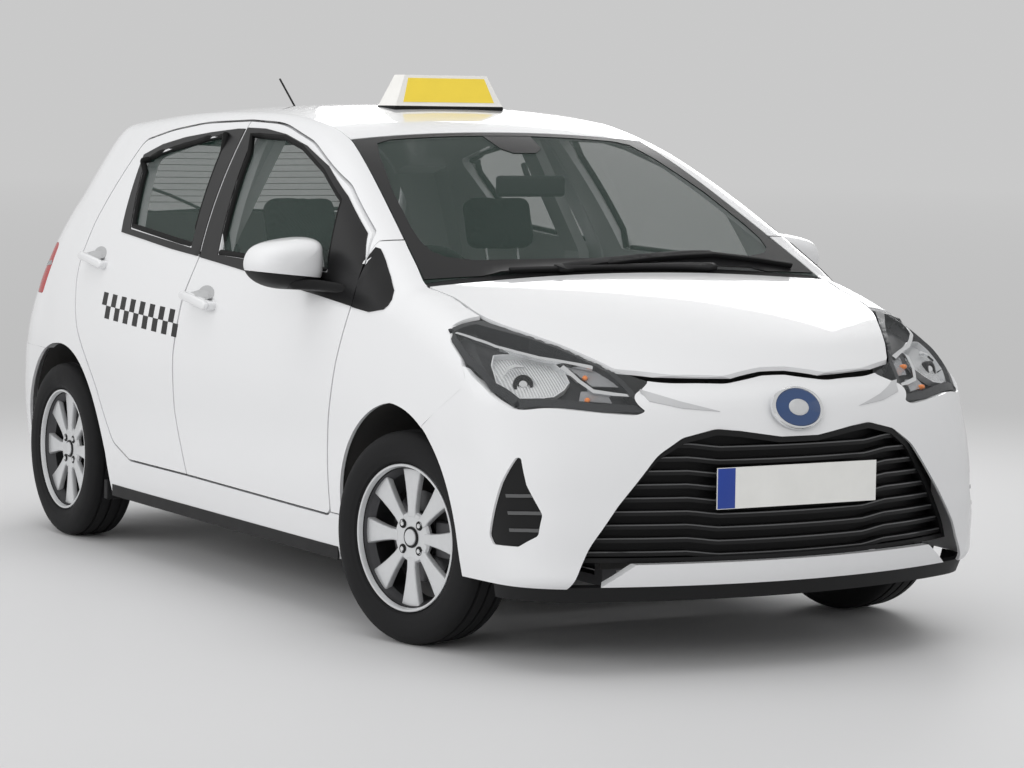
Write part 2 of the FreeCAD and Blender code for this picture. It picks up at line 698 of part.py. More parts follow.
# Floor, bulkhead and tail panel
edge = sill_inner_y
house_y = -rear_liner_y - 0.4
front_y = -front_liner_y - 5
corner_arch_x = 838
dash_x = 880
latch = box(-1935, -1850, -40, 40, 615, 690)
latch_room = tailgate.copy()
latch_room.translate(Vector(seat_gap, 0, 0))
latch = latch.cut(latch_room).cut(tailgate)
latch = max(latch.Solids, key=lambda s: s.Volume)
buffers = [rod(Vector(1650, y, 790), Vector(1650, y, 900), 12) for y in (-300, 300)]
bonnet_underside = skin(bonnet_point, spread(0.6, 0.95, 8), spread(-0.9, 0.9, 13), -40,
                        skin_thickness + seat_gap)
buffers = [b.cut(bonnet_underside) for b in buffers]
tow_eyes = [Vector(1690, 400, 250), Vector(-1890, 300, 250)]
tow_eye_radius = 15
tow_plate_half = 6
tow_plates = [box(1655, 1712, 400 - tow_plate_half, 400 + tow_plate_half, 220, 290),
              box(-1912, -1855, 300 - tow_plate_half, 300 + tow_plate_half, 220, 330)]
floor_top = floor_z + floor_thickness
boot_x = -945
boot_z = 400
tunnel_half = 110
panel_x = 1650
rail_y = 395
wall_x = dash_x + floor_thickness
floor = fused([
    box(boot_x - floor_thickness, corner_arch_x, -edge, edge, floor_z, floor_top),
    box(corner_arch_x, wall_x, -front_y, front_y, floor_z, floor_top),
    box(dash_x, wall_x, -front_y, front_y, floor_z, 950),
    box(dash_x, wall_x, -edge + 20, edge - 20, 700, 950),
    box(boot_x - floor_thickness, dash_x, -tunnel_half, tunnel_half, floor_z, 290),
    box(boot_x - floor_thickness, boot_x, -house_y + 1, house_y - 1, floor_z,
        boot_z + floor_thickness),
    box(-1850, boot_x, -house_y, house_y, boot_z, boot_z + floor_thickness),
    box(-1865, -1850, -520, 520, 300, bumper_top - 10),
    box(panel_x - 10, panel_x + 10, -rail_y - 55, rail_y + 55, 250, 800),
    box(dash_x, panel_x, -rail_y - 55, -rail_y, 440, 520),
    box(dash_x, panel_x, rail_y, rail_y + 55, 440, 520),
    latch] + buffers + tow_plates)
for eye in tow_eyes:
    half_pin = Vector(0, 20, 0)
    floor = floor.cut(rod(eye - half_pin, eye + half_pin, tow_eye_radius))
print("floor", floor.isValid(), len(floor.Solids))
pieces["floor_pan"] = floor

# Wheel liners, behind the skins of all four openings
strut_y = 570
strut_radius = 28


def liner(opening, inner_y, shield):
    """A wall that follows a wheel opening, closed on its inner side."""
    wall = liner_far - liner_near
    shell = opening(liner_far).common(box(tail, nose, -900, inner_y, liner_low, 800))
    hollow = opening(liner_near).common(box(tail, nose, -1000, inner_y - wall, 0, 800))
    return shell.cut(hollow).cut(shield)


rear_shield = skin(side_point, spread(-2150, -800, 18), spread(270, 960, 12), -20,
                   frame_thickness + seam)
strut_room = rod(Vector(front_axle_x, -strut_y, 600), Vector(front_axle_x, -strut_y, 720),
                 strut_radius + 5)
front_liner = liner(front_arch, front_liner_y, front_shield).cut(strut_room)
front_liner = front_liner.cut(pieces["front_bumper"])
rear_liner = liner(rear_arch, rear_liner_y, rear_shield)
liners = [front_liner, rear_liner]
print("liners", [(s.isValid(), len(s.Solids)) for s in liners])
pieces["arch_liners"] = Part.Compound([max(s.Solids, key=lambda s: s.Volume) for s in liners]
                                      + [mirrored(max(s.Solids, key=lambda s: s.Volume))
                                         for s in liners])

# Cabin
dash = prism("side", [(dash_x, 640, 0), (dash_x, 955, 0), (760, 950, 60), (610, 905, 60), (585, 760, 40),
                      (650, 640, 0)], -640, 640)
wheel_centre = Vector(455, -370, 905)
column_way = Vector(-math.cos(math.radians(24)), 0, math.sin(math.radians(24)))
column = rod(wheel_centre - column_way * 190, wheel_centre - column_way * 30, 28)
pieces["dashboard"] = fused([dash, column])
ring = Part.makeTorus(178, 14, wheel_centre, column_way)
hub = rod(wheel_centre - column_way * 29.7, wheel_centre, 62)
steering = [ring, hub]
for angle in (0, 180, 270):
    spoke = box(40, 172, -18, 18, -22, -6)
    spoke.rotate(Vector(0, 0, 0), Vector(0, 0, 1), angle)
    spoke.rotate(Vector(0, 0, 0), Vector(0, 0, 1), 90)
    spoke.rotate(Vector(0, 0, 0), Vector(0, 1, 0), -66)
    spoke.translate(wheel_centre)
    steering.append(spoke)
pieces["steering_wheel"] = fused(steering)

back = soft_box(-60, 60, -240, 240, -20, 600, 45)
head = soft_box(-50, 50, -130, 130, 640, 830, 40)
stalks = [rod(Vector(0, y, 560), Vector(0, y, 700), 7) for y in (-60, 60)]
upright = fused([back, head] + stalks)
upright.rotate(Vector(0, 0, 0), Vector(0, 1, 0), -17)
upright.translate(Vector(-150, 0, 410))
seat_rails = [box(-120, 300, y - 15, y + 15, floor_z + floor_thickness, 350) for y in (-190, 190)]
seat = fused([soft_box(-160, 370, -250, 250, 335, 465, 45), upright] + seat_rails)
seats = []
for y in (-370, 370):
    placed = seat.copy()
    placed.translate(Vector(0, y, 0))
    seats.append(placed)
pieces["front_seats"] = Part.Compound(seats)
rest = soft_box(-55, 55, -560, 560, -20, 520, 45)
rest_parts = [rest]
for y in (-340, 0, 340):
    rest_parts.append(soft_box(-40, 40, y - 110, y + 110, 510, 640, 35))
upright = fused(rest_parts)
upright.rotate(Vector(0, 0, 0), Vector(0, 1, 0), -22)
upright.translate(Vector(-900, 0, 438))
pieces["rear_bench"] = fused([soft_box(-940, -460, -570, 570, 330, 470, 45), upright,
                              box(-930, -520, -560, -125, floor_z + floor_thickness, 345),
                              box(-930, -520, 125, 560, floor_z + floor_thickness, 345)])

# Taxi sign and antenna on the roof
sign_x = -100
sign_sections = []
for z, long, wide in ((1478, 122, 392), (1502, 122, 392), (1508, 116, 384), (1600, 70, 300)):
    sign_sections.append(Part.makePolygon([Vector(sign_x + a * long / 2, b * wide / 2, z)
                         for a, b in ((1, 1), (1, -1), (-1, -1), (-1, 1), (1, 1))]))
sign = Part.makeLoft(sign_sections, True, True)
roof_shield = skin(top_point, spread(-250, 50, 6), spread(-0.6, 0.6, 9), -0.3, 60)
sign = sign.cut(roof_shield)
sign = max(sign.Solids, key=lambda s: s.Volume)
pieces["taxi_sign"] = sign
aerial_foot = top_point(-1170, 0)
aerial = fused([Part.makeCone(22, 6, 24, aerial_foot - Vector(0, 0, 3)),
                rod(aerial_foot + Vector(0, 0, 15), aerial_foot + Vector(-128, 0, 116), 3.5)])
aerial = aerial.cut(skin(top_point, spread(-1250, -1090, 5), spread(-0.2, 0.2, 5), -0.3, 20))
pieces["antenna"] = aerial

# Engine, front suspension, rear axle and exhaust
pieces["engine"] = box(1120, 1560, -380, 380, 228, 720)
strut_foot = Vector(front_axle_x, -strut_y, 430)
kingpin_foot = Vector(front_axle_x, -kingpin_y, 190)
arm_x = front_axle_x - 20
arm_far = front_axle_x + 20
right_side = fused([
    box(front_axle_x - 28, front_axle_x + 28, -612, -596, 180, 470),
    box(arm_x, arm_far, -600, -420, 190, 226),
    box(arm_x, arm_far, -kingpin_y - 12, -600, 184, 204),
    box(arm_x, arm_far, -kingpin_y - 12, -600, 396, 416),
    box(front_axle_x - 28, front_axle_x + 28, -600, -strut_y, 420, 450),
    rod(strut_foot, strut_foot + Vector(0, 0, 270), strut_radius),
    rod(kingpin_foot, kingpin_foot + Vector(0, 0, 220), kingpin_radius),
    box(dash_x + 15, 1160, -360, -300, floor_z, 227)])
carrier = [right_side, mirrored(right_side), box(1080, 1260, -440, 440, 190, 228),
           box(1250, 1640, -430, -385, 200, 227), box(1250, 1640, 385, 430, 200, 227),
           box(1600, 1640, -430, -385, 200, 290), box(1600, 1640, 385, 430, 200, 290)]
pieces["front_suspension"] = fused(carrier)
axle_middle = Vector(rear_axle_x, 0, tyre_radius)
spindle_end = Vector(0, wheel_y + 35, 0)
beam_end = Vector(0, 640, 0)
axle = [rod(axle_middle - spindle_end, axle_middle + spindle_end, spindle_radius),
        rod(axle_middle - beam_end, axle_middle + beam_end, 32)]
for arm_y in (-470, 470):
    axle.append(box(rear_axle_x, -960, arm_y - 25, arm_y + 25, 275, 325))
pieces["rear_axle"] = fused(axle)
pieces["exhaust"] = fused([rod(Vector(880, 200, 172), Vector(-1580, 200, 172), 22),
                           rod(Vector(-1600, 150, 232), Vector(-1600, 520, 232), 62),
                           rod(Vector(-1600, 470, 182), Vector(-1890, 470, 182), 18),
                           box(-1610, -1590, 190, 210, 280, 400),
                           box(-1610, -1590, 460, 480, 280, 400),
                           box(700, 720, 190, 210, 180, floor_z)])

# Knuckles, wheels and tyres
knuckle_block = box(front_axle_x - 30, front_axle_x + 30, -kingpin_y - 24, -kingpin_y + 36,
                    212, 388)
knuckle_block = knuckle_block.cut(rod(Vector(front_axle_x, -kingpin_y, 150),
                                      Vector(front_axle_x, -kingpin_y, 450),
                                      kingpin_radius + spindle_clearance))
knuckle = knuckle_block.fuse(rod(Vector(front_axle_x, -kingpin_y - 12, tyre_radius),
                                 Vector(front_axle_x, -wheel_y - 35, tyre_radius), spindle_radius))
pieces["knuckle_right"] = knuckle
pieces["knuckle_left"] = mirrored(knuckle)


def turned(profile):
    """A ring about the Y axis from (radius, y) rows."""
    points = [Vector(r, y, 0) for r, y in profile]
    face = Part.Face(Part.makePolygon(points + points[:1]))
    return face.revolve(Vector(0, 0, 0), Vector(0, 1, 0), 360)


half_rim = rim_width / 2
barrel = turned([(rim_radius, -half_rim), (rim_radius, -half_rim + 6), (bead_radius, -66),
                 (bead_radius, -50), (178, -32), (178, 40), (bead_radius, 54), (bead_radius, 66),
                 (rim_radius, half_rim - 6), (rim_radius, half_rim), (185, half_rim),
                 (172, 44), (172, -34), (186, -54), (197, -half_rim)])
hub = turned([(spindle_radius + spindle_clearance, -36), (30, -36), (62, -58), (68, -50), (68, -6),
              (spindle_radius + spindle_clearance, -6)])
disc = turned([(40, -12), (128, -12), (128, 4), (40, 4)])
wheel_parts = [barrel, hub, disc]
for i in range(spoke_count):
    spoke = prism("plan", [(55, -60, 0), (60, -36, 0), (180, -40, 0), (190, -66, 0)], -17, 17)
    spoke.rotate(Vector(0, 0, 0), Vector(0, 1, 0), 360 / spoke_count * i)
    wheel_parts.append(spoke)
wheel = fused(wheel_parts)
tread = tyre_radius
tyre_profile = [Vector(bead_radius + seam, -64, 0), Vector(rim_radius + 3, -68, 0),
                Vector(248, -tyre_width / 2, 0), Vector(283, -tyre_width / 2 + 8, 0),
                Vector(tread - 2, -58, 0), Vector(tread, 0, 0), Vector(tread - 2, 58, 0),
                Vector(283, tyre_width / 2 - 8, 0), Vector(248, tyre_width / 2, 0),
                Vector(rim_radius + 3, 68, 0), Vector(bead_radius + seam, 64, 0)]
flank = tyre_width / 2 - 2.6
bulges = {1: Vector(228, -84, 0), 2: Vector(268, -flank, 0), 3: Vector(295, -72, 0),
          6: Vector(295, 72, 0), 7: Vector(268, flank, 0), 8: Vector(228, 84, 0)}
tyre_edges = [Part.makeLine(tyre_profile[i], tyre_profile[(i + 1) % 11]) for i in (0, 9, 10)]
tyre_edges[1:1] = [Part.Arc(tyre_profile[i], bulges[i], tyre_profile[i + 1]).toShape()
                   for i in (1, 2, 3)]
tyre_edges[4:4] = [Part.Arc(*tyre_profile[4:7]).toShape()]
tyre_edges[5:5] = [Part.Arc(tyre_profile[i], bulges[i], tyre_profile[i + 1]).toShape()
                   for i in (6, 7, 8)]
tyre = Part.Face(Part.Wire(tyre_edges)).revolve(Vector(0, 0, 0), Vector(0, 1, 0), 360)
print("wheel", wheel.isValid(), len(wheel.Solids), "tyre", tyre.isValid(), len(tyre.Solids))
for place, x in (("front", front_axle_x), ("rear", rear_axle_x)):
    for name, shape in (("wheel", wheel), ("tyre", tyre)):
        right = shape.copy()
        right.translate(Vector(x, -wheel_y, tyre_radius))
        pieces[name + "_" + place + "_right"] = right
        pieces[name + "_" + place + "_left"] = mirrored(right)

# The front wheels rest turned a little to the left
for hand, kingpin in (("right", -kingpin_y), ("left", kingpin_y)):
    for name in ("knuckle_", "wheel_front_", "tyre_front_"):
        pieces[name + hand].rotate(Vector(front_axle_x, kingpin, 0), Vector(0, 0, 1), rest_steer)
pieces["steering_wheel"].rotate(wheel_centre, column_way, rest_steer * steering_ratio)

for name, shape in pieces.items():
    if not shape.isValid():
        print("not valid:", name)
    shape.exportStep("parts/" + name + ".step")
everything = Part.Compound(list(pieces.values())).BoundBox
print("nodes", len(pieces), "from", round(everything.XMin, 1), round(everything.YMin, 1),
      round(everything.ZMin, 1), "to", round(everything.XMax, 1), round(everything.YMax, 1),
      round(everything.ZMax, 1))
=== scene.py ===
import math

import bpy
from mathutils import Matrix, Vector


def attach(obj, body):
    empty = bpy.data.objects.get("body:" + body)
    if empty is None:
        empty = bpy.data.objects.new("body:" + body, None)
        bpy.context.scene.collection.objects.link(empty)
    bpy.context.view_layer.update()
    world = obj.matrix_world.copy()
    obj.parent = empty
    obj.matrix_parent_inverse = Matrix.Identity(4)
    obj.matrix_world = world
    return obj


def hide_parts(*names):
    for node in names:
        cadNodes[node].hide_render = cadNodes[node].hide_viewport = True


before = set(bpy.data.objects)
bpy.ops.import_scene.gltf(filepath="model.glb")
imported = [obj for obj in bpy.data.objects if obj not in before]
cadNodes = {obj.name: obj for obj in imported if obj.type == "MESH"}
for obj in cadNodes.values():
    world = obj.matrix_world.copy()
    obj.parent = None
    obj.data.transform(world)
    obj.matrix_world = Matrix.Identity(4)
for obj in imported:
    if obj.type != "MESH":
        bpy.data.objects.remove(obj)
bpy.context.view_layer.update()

handed = {"right": -1, "left": 1}  # the car's right side lies towards minus Y

studio = {
    "cameraAt": (8.883, -4.882, 1.479),
    "yaw": 150.12,
    "pitch": -4.9,
    "roll": 0.71,
    "lens": 110.74,
    "floorTone": (0.66, 0.66, 0.665),
    "wallTone": 0.585,
    "dimTone": 0.52,
    "skyLight": 0.63,
    "overheadPower": 110,
    "frontPower": 90,
    "rearPower": 130,
    "sidePower": 200,
}


def aimCamera(cam):
    yaw, pitch, roll = (math.radians(studio[k]) for k in ("yaw", "pitch", "roll"))
    level = math.cos(pitch)
    ahead = Vector((math.cos(yaw) * level, math.sin(yaw) * level, math.sin(pitch)))
    across = Vector((math.sin(yaw), -math.cos(yaw), 0))
    above = across.cross(ahead)
    right = across * math.cos(roll) + above * math.sin(roll)
    up = above * math.cos(roll) - across * math.sin(roll)
    turn = Matrix((right, up, -ahead)).transposed().to_4x4()
    cam.matrix_world = Matrix.Translation(studio["cameraAt"]) @ turn


def softBox(name, at, size, power, target=(0, 0, 0.7), mirrored=True):
    lamp = bpy.data.lights.new(name, "AREA")
    lamp.shape = "RECTANGLE"
    lamp.size, lamp.size_y = size
    lamp.energy = power
    obj = bpy.data.objects.new(name, lamp)
    bpy.context.scene.collection.objects.link(obj)
    obj.location = at
    obj.visible_glossy = mirrored
    toward = Vector(target) - Vector(at)
    obj.rotation_euler = toward.to_track_quat("-Z", "Y").to_euler()


cameraData = bpy.data.cameras.new("camera")
cameraData.lens = studio["lens"]
cameraData.sensor_width = 36
cameraData.clip_end = 300
camera = bpy.data.objects.new("camera", cameraData)
bpy.context.scene.collection.objects.link(camera)
aimCamera(camera)
bpy.context.scene.camera = camera
bpy.context.scene.view_settings.view_transform = "Standard"
softBox("overhead", (0.3, -0.6, 5.6), (7.0, 4.5), studio["overheadPower"], mirrored=False)
softBox("frontSide", (6.0, -5.0, 3.4), (4.5, 3.0), studio["frontPower"], mirrored=False)
softBox("doorSide", (-1.5, -8.0, 3.6), (8.0, 3.0), studio["sidePower"], (-0.4, 0, 0.6), False)
softBox("rearSide", (-5.5, 4.5, 3.6), (4.5, 3.0), studio["rearPower"])
print("camera and lamps are in place")


# finishes
class Shade:  # a socket whose sums become Math nodes
    def __init__(self, tree, socket):
        self.tree = tree
        self.socket = socket

    def join(self, operation, *others):
        node = self.tree.nodes.new("ShaderNodeMath")
        node.operation = operation
        for entry, value in zip(node.inputs, (self, *others)):
            plug(self.tree, entry, value)
        return Shade(self.tree, node.outputs[0])

    def __add__(self, other):
        return self.join("ADD", other)

    def __sub__(self, other):
        return self.join("SUBTRACT", other)

    def __mul__(self, other):
        return self.join("MULTIPLY", other)

    def __truediv__(self, other):
        return self.join("DIVIDE", other)

    def __rsub__(self, other):
        return self * -1 + other

    __radd__ = __add__
    __rmul__ = __mul__


def plug(tree, entry, value):
    if isinstance(value, Shade):
        tree.links.new(value.socket, entry)
    else:
        entry.default_value = value


class Finish:
    def __init__(self, name, tone, roughness, metallic=0.0, coat=0.0, alpha=1.0):
        self.material = bpy.data.materials.new(name)
        self.material.use_nodes = True
        self.tree = self.material.node_tree
        self.shader = self.tree.nodes["Principled BSDF"]
        self.tone = tone
        self.roughness = roughness
        self.send("Base Color", (*tone, 1))
        self.send("Roughness", roughness)
        self.send("Metallic", metallic)
        self.send("Coat Weight", coat)
        self.send("Coat Roughness", 0.03)
        self.send("Alpha", alpha)
        self.place = self.add("TexCoord", {}, {}, "Object")

    def send(self, label, value):
        plug(self.tree, self.shader.inputs[label], value)

    def add(self, kind, settings, inputs, output=0):
        node = self.tree.nodes.new("ShaderNode" + kind)
        for key, value in settings.items():
            setattr(node, key, value)
        for key, value in inputs.items():
            plug(self.tree, node.inputs[key], value)
        return Shade(self.tree, node.outputs[output])

    def noise(self, scale, detail=3.0, stretch=(1, 1, 1)):
        at = self.add("Mapping", {}, {"Vector": self.place, "Scale": stretch})
        return self.add("TexNoise", {}, {"Vector": at, "Scale": scale, "Detail": detail})

    def axis(self, letter):
        return self.add("SeparateXYZ", {}, {"Vector": self.place}, letter)

    def mix(self, mask, first, second):
        pair = {0: mask, 6: first, 7: second}
        return self.add("Mix", {"data_type": "RGBA"}, pair, 2)

    def tint(self, mask, other):
        self.send("Base Color", self.mix(mask, (*self.tone, 1), (*other, 1)))

    def emboss(self, height, distance, strength=1.0):
        bump = {"Height": height, "Distance": distance, "Strength": strength}
        self.send("Normal", self.add("Bump", {}, bump))


def moulded(name, tone, roughness, grain=900, depth=0.0002, shine=0.5, **more):
    # moulded plastic: a fine grain, with a little change of tone and gloss
    made = Finish(name, tone, roughness, **more)
    made.send("Specular IOR Level", shine)
    broad = made.noise(14)
    made.tint(broad * 0.5, tuple(c * 1.25 + 0.002 for c in tone))
    made.send("Roughness", broad * 0.12 + (roughness - 0.06))
    made.emboss(made.noise(grain, 2), depth, 0.5)
    return made.material


def smooth(name, tone, roughness, **more):
    return moulded(name, tone, roughness, depth=0.00003, **more)


def metal(name, tone, roughness, brush=(1, 1, 1), coat=0.0, metallic=1.0):
    made = Finish(name, tone, roughness, metallic=metallic, coat=coat)
    fine = made.noise(60, 4, brush)
    made.tint(fine * 0.4, tuple(c * 0.82 for c in tone))
    made.send("Roughness", fine * 0.14 + (roughness - 0.07))
    made.emboss(made.noise(420, 3, brush), 0.0001, 0.25)
    return made.material


def bodyPaint():
    made = Finish("bodyPaint", (0.8, 0.805, 0.815), 0.32, coat=1.0)
    made.tint(made.noise(3.5) * 0.35, (0.775, 0.78, 0.795))
    made.send("Roughness", made.noise(40) * 0.08 + 0.28)
    made.emboss(made.noise(240, 2), 0.00006, 0.12)
    return made.material


def tintedGlass(name, tone, alpha, roughness=0.02):
    made = Finish(name, tone, roughness, alpha=alpha)
    made.tint(made.noise(2.2) * 0.5, tuple(c * 1.3 for c in tone))
    made.send("Alpha", made.noise(1.4) * 0.06 + (alpha - 0.03))
    return made.material


def tyreRubber():
    made = Finish("tyreRubber", (0.012, 0.012, 0.013), 0.72)
    made.send("Specular IOR Level", 0.2)
    dust = made.noise(26, 5)
    made.tint(dust * 0.5, (0.022, 0.022, 0.022))
    made.send("Roughness", dust * 0.2 + 0.6)
    made.emboss(made.noise(520, 3), 0.0003, 0.5)
    return made.material


def wovenCloth(name, tone, other, pitch=520):
    made = Finish(name, tone, 0.9)
    x, y, z = (made.axis(c) * pitch for c in "XYZ")
    warp = (x + z * 0.6).join("SINE")
    weft = (y + z * 0.8).join("SINE")
    made.tint(warp * weft * 0.35 + made.noise(30) * 0.5, other)
    made.emboss(warp * weft, 0.0004, 0.6)
    made.send("Roughness", made.noise(80) * 0.1 + 0.84)
    return made.material


def fluted(name, tone, pitch, slant=0.0, metallic=0.85):
    # a reflector pressed into fine ribs
    made = Finish(name, tone, 0.16, metallic=metallic)
    rib = ((made.axis("Y") + made.axis("Z") * slant) * pitch).join("SINE")
    made.tint(rib.join("MAXIMUM", 0.0) * 0.5, tuple(c * 0.35 for c in tone))
    made.send("Roughness", made.noise(50) * 0.08 + 0.12)
    made.emboss(rib, 0.0012, 0.8)
    return made.material


def underSeal():
    made = Finish("underSeal", (0.03, 0.03, 0.031), 0.75)
    made.tint(made.noise(9, 6), (0.055, 0.052, 0.048))
    made.send("Roughness", made.noise(30) * 0.2 + 0.65)
    made.emboss(made.noise(120, 4), 0.001, 0.5)
    return made.material


finishes = {
    "paint": bodyPaint(),
    "plastic": moulded("blackPlastic", (0.009, 0.009, 0.0095), 0.5, shine=0.25),
    "gloss": smooth("glossBlack", (0.006, 0.006, 0.0065), 0.3, shine=0.3),
    "rubber": moulded("sealRubber", (0.008, 0.008, 0.008), 0.62, grain=400, shine=0.2),
    "trim": moulded("darkTrim", (0.04, 0.041, 0.043), 0.6, grain=700, depth=0.0004, shine=0.3),
    "glass": tintedGlass("tintedGlass", (0.03, 0.06, 0.048), 0.27),
    "clear": tintedGlass("clearLens", (0.55, 0.57, 0.58), 0.06),
    "darkMetal": metal("darkMetal", (0.12, 0.12, 0.125), 0.5),
    "chrome": metal("chrome", (0.9, 0.91, 0.92), 0.16),
    "alloy": metal("alloy", (0.74, 0.75, 0.76), 0.38, coat=0.4, metallic=0.55),
    "disc": metal("brakeDisc", (0.16, 0.16, 0.165), 0.42),
    "steel": metal("exhaustSteel", (0.42, 0.41, 0.4), 0.4, (1, 4, 4)),
    "tyre": tyreRubber(),
    "cloth": wovenCloth("seatCloth", (0.034, 0.036, 0.038), (0.085, 0.088, 0.092)),
    "seal": underSeal(),
    "red": tintedGlass("redLens", (0.42, 0.012, 0.012), 0.88, 0.06),
    "plate": smooth("plateFace", (0.8, 0.8, 0.775), 0.38),
    "blue": smooth("plateBand", (0.01, 0.045, 0.3), 0.38),
    "signWhite": moulded("signWhite", (0.8, 0.79, 0.76), 0.3, depth=0.00004, coat=0.5),
    "signYellow": moulded("signYellow", (0.88, 0.66, 0.05), 0.35, depth=0.00004, coat=0.5),
    "silver": smooth("silverTrim", (0.66, 0.67, 0.68), 0.3, metallic=0.5),
    "reflector": fluted("lampReflector", (0.88, 0.89, 0.9), 900, metallic=0.6),
    "cell": fluted("lampCell", (0.62, 0.63, 0.65), 1300, 1.2, metallic=0.6),
    "lampDark": moulded("lampHousing", (0.022, 0.023, 0.025), 0.35, depth=0.00004, shine=0.3),
    # a light grey that paints the gloss highlight along black louvres and slats
    "louvre": moulded("paintedLouvreHighlight", (0.085, 0.086, 0.088), 0.3, depth=0.00004, coat=0.3),
    "badgeBlue": smooth("badgeField", (0.012, 0.05, 0.16), 0.2, coat=0.8),
    # a mid grey on white panels that paints the shade of recesses the panels lack: handle cups and
    # the plate recess
    "paintedShade": smooth("paintedRecessShade", (0.4, 0.405, 0.41), 0.4, coat=0.5),
    "greyPaint": smooth("greyPaint", (0.5, 0.505, 0.515), 0.3, coat=0.8),
    "heater": smooth("heatingLine", (0.16, 0.12, 0.09), 0.5),
    "amber": smooth("amberBulb", (0.85, 0.24, 0.04), 0.25, coat=0.5),
}


def coat(obj, finish):
    obj.data.materials.clear()
    obj.data.materials.append(finishes[finish])
    return obj


cadFinish = {  # {} stands for right and left
    "paint": "side_frames roof_panel bonnet front_fenders front_bumper rear_bumper tailgate "
             "lower_bar door_front_{} door_rear_{} mirror_{}",
    "plastic": "cowl grille splitter fog_bezels antenna",
    "glass": "windscreen tailgate_glass door_glass_front_{} door_glass_rear_{}",
    "trim": "dashboard steering_wheel",
    "cloth": "front_seats rear_bench",
    "seal": "floor_pan arch_liners",
    "darkMetal": "engine front_suspension rear_axle knuckle_{}",
    "steel": "exhaust",
    "alloy": "wheel_front_{} wheel_rear_{}",
    "tyre": "tyre_front_{} tyre_rear_{}",
    "clear": "headlamps",
    "red": "tail_lamps",
    "plate": "number_plate_front number_plate_rear",
    "signWhite": "taxi_sign",
}
for finish, names in cadFinish.items():
    for name in names.split():
        for hand in handed:
            coat(cadNodes[name.format(hand)], finish)
print("CAD nodes have their finishes")


# floor, backdrop and sky
def fadeAway(made):
    # the paper turns into an even, glowing backdrop away from the car: an emission that paints its
    # light, dimmer near the car and paler towards the skyline
    east, north = made.axis("X"), made.axis("Y")
    far = (east * east + north * north).join("SQRT")
    outer = ((far - 8) / 50).join("MAXIMUM", 0.0).join("MINIMUM", 1.0)
    tone = made.mix(outer, (*[studio["dimTone"]] * 3, 1), (*[studio["wallTone"]] * 3, 1))
    glow = made.add("Emission", {}, {"Color": tone})
    share = ((far - 2.6) / 4.2).join("MAXIMUM", 0.0).join("MINIMUM", 1.0)
    paper = Shade(made.tree, made.shader.outputs[0])
    faded = made.add("MixShader", {}, {0: share * share * (3 - share * 2), 1: paper, 2: glow})
    end = made.tree.nodes["Material Output"]
    made.tree.links.new(faded.socket, end.inputs[0])


def sweep():
    bpy.ops.object.select_all(action="DESELECT")
    bpy.ops.mesh.primitive_plane_add(size=120, location=(0, 0, 0))
    floor = bpy.context.object
    floor.name = "floor"
    made = Finish("floorPaper", studio["floorTone"], 0.6)
    made.tint(made.noise(0.12), tuple(c * 0.96 for c in studio["floorTone"]))
    made.emboss(made.noise(300, 2), 0.0002, 0.2)
    floor.data.materials.append(made.material)
    fadeAway(made)


def sky():
    world = bpy.data.worlds.new("sky")
    world.use_nodes = True
    bpy.context.scene.world = world
    tree = world.node_tree
    tree.nodes.clear()
    path = tree.nodes.new("ShaderNodeLightPath")
    seen = Shade(tree, path.outputs["Is Camera Ray"])
    seen = seen.join("MAXIMUM", Shade(tree, path.outputs["Is Glossy Ray"]))
    seen = seen.join("MAXIMUM", Shade(tree, path.outputs["Is Transmission Ray"]))
    lit, shown = (tree.nodes.new("ShaderNodeBackground") for _ in range(2))
    lit.inputs["Color"].default_value = (1, 1, 1, 1)
    lit.inputs["Strength"].default_value = studio["skyLight"]
    shown.inputs["Color"].default_value = (*[studio["wallTone"]] * 3, 1)
    pick = tree.nodes.new("ShaderNodeMixShader")
    tree.links.new(seen.socket, pick.inputs[0])
    tree.links.new(lit.outputs[0], pick.inputs[1])
    tree.links.new(shown.outputs[0], pick.inputs[2])
    end = tree.nodes.new("ShaderNodeOutputWorld")
    tree.links.new(pick.outputs[0], end.inputs[0])


sweep()
sky()
print("floor and sky are in place")


# modelling tools
def alone(obj=None):
    if bpy.context.object and bpy.context.object.mode == "EDIT":
        bpy.ops.object.mode_set(mode="OBJECT")
    bpy.ops.object.select_all(action="DESELECT")
    if obj:
        obj.select_set(True)
        bpy.context.view_layer.objects.active = obj
    return obj


def editing(obj, select="SELECT"):
    alone(obj)
    bpy.ops.object.mode_set(mode="EDIT")
    bpy.ops.mesh.select_all(action=select)
    return obj


def modify(obj, kind, **settings):
    alone(obj)
    bpy.ops.object.modifier_add(type=kind)
    modifier = obj.modifiers[-1]
    for key, value in settings.items():
        setattr(modifier, key, value)
    bpy.ops.object.modifier_apply(modifier=modifier.name)
    return obj


def softened(obj, width, segments=3, sharp=None):
    # rounded edges, or only those that turn by more than the sharp angle
    limit = {"limit_method": "ANGLE", "angle_limit": sharp} if sharp else {}
    return modify(obj, "BEVEL", width=width, segments=segments, **limit)


def placeApplied():
    bpy.ops.object.transform_apply(location=True, rotation=True, scale=True)


def turned(obj, angle, axis, centre):
    editing(obj)
    bpy.ops.transform.rotate(value=angle, orient_axis=axis, center_override=centre)
    return alone(obj)


def removeFaces(obj, test):
    editing(obj, "DESELECT")
    bpy.ops.mesh.select_mode(type="FACE")
    bpy.ops.object.mode_set(mode="OBJECT")
    for face in obj.data.polygons:
        face.select = test(face)
    bpy.ops.object.mode_set(mode="EDIT")
    bpy.ops.mesh.delete(type="FACE")
    bpy.ops.mesh.select_mode(type="VERT")


def sliced(at, normal):
    bpy.ops.mesh.select_all(action="SELECT")
    bpy.ops.mesh.bisect(plane_co=at, plane_no=normal)


def cutBy(obj, tool):
    modify(obj, "BOOLEAN", object=tool, operation="DIFFERENCE", solver="EXACT")
    bpy.data.objects.remove(tool)
    return obj


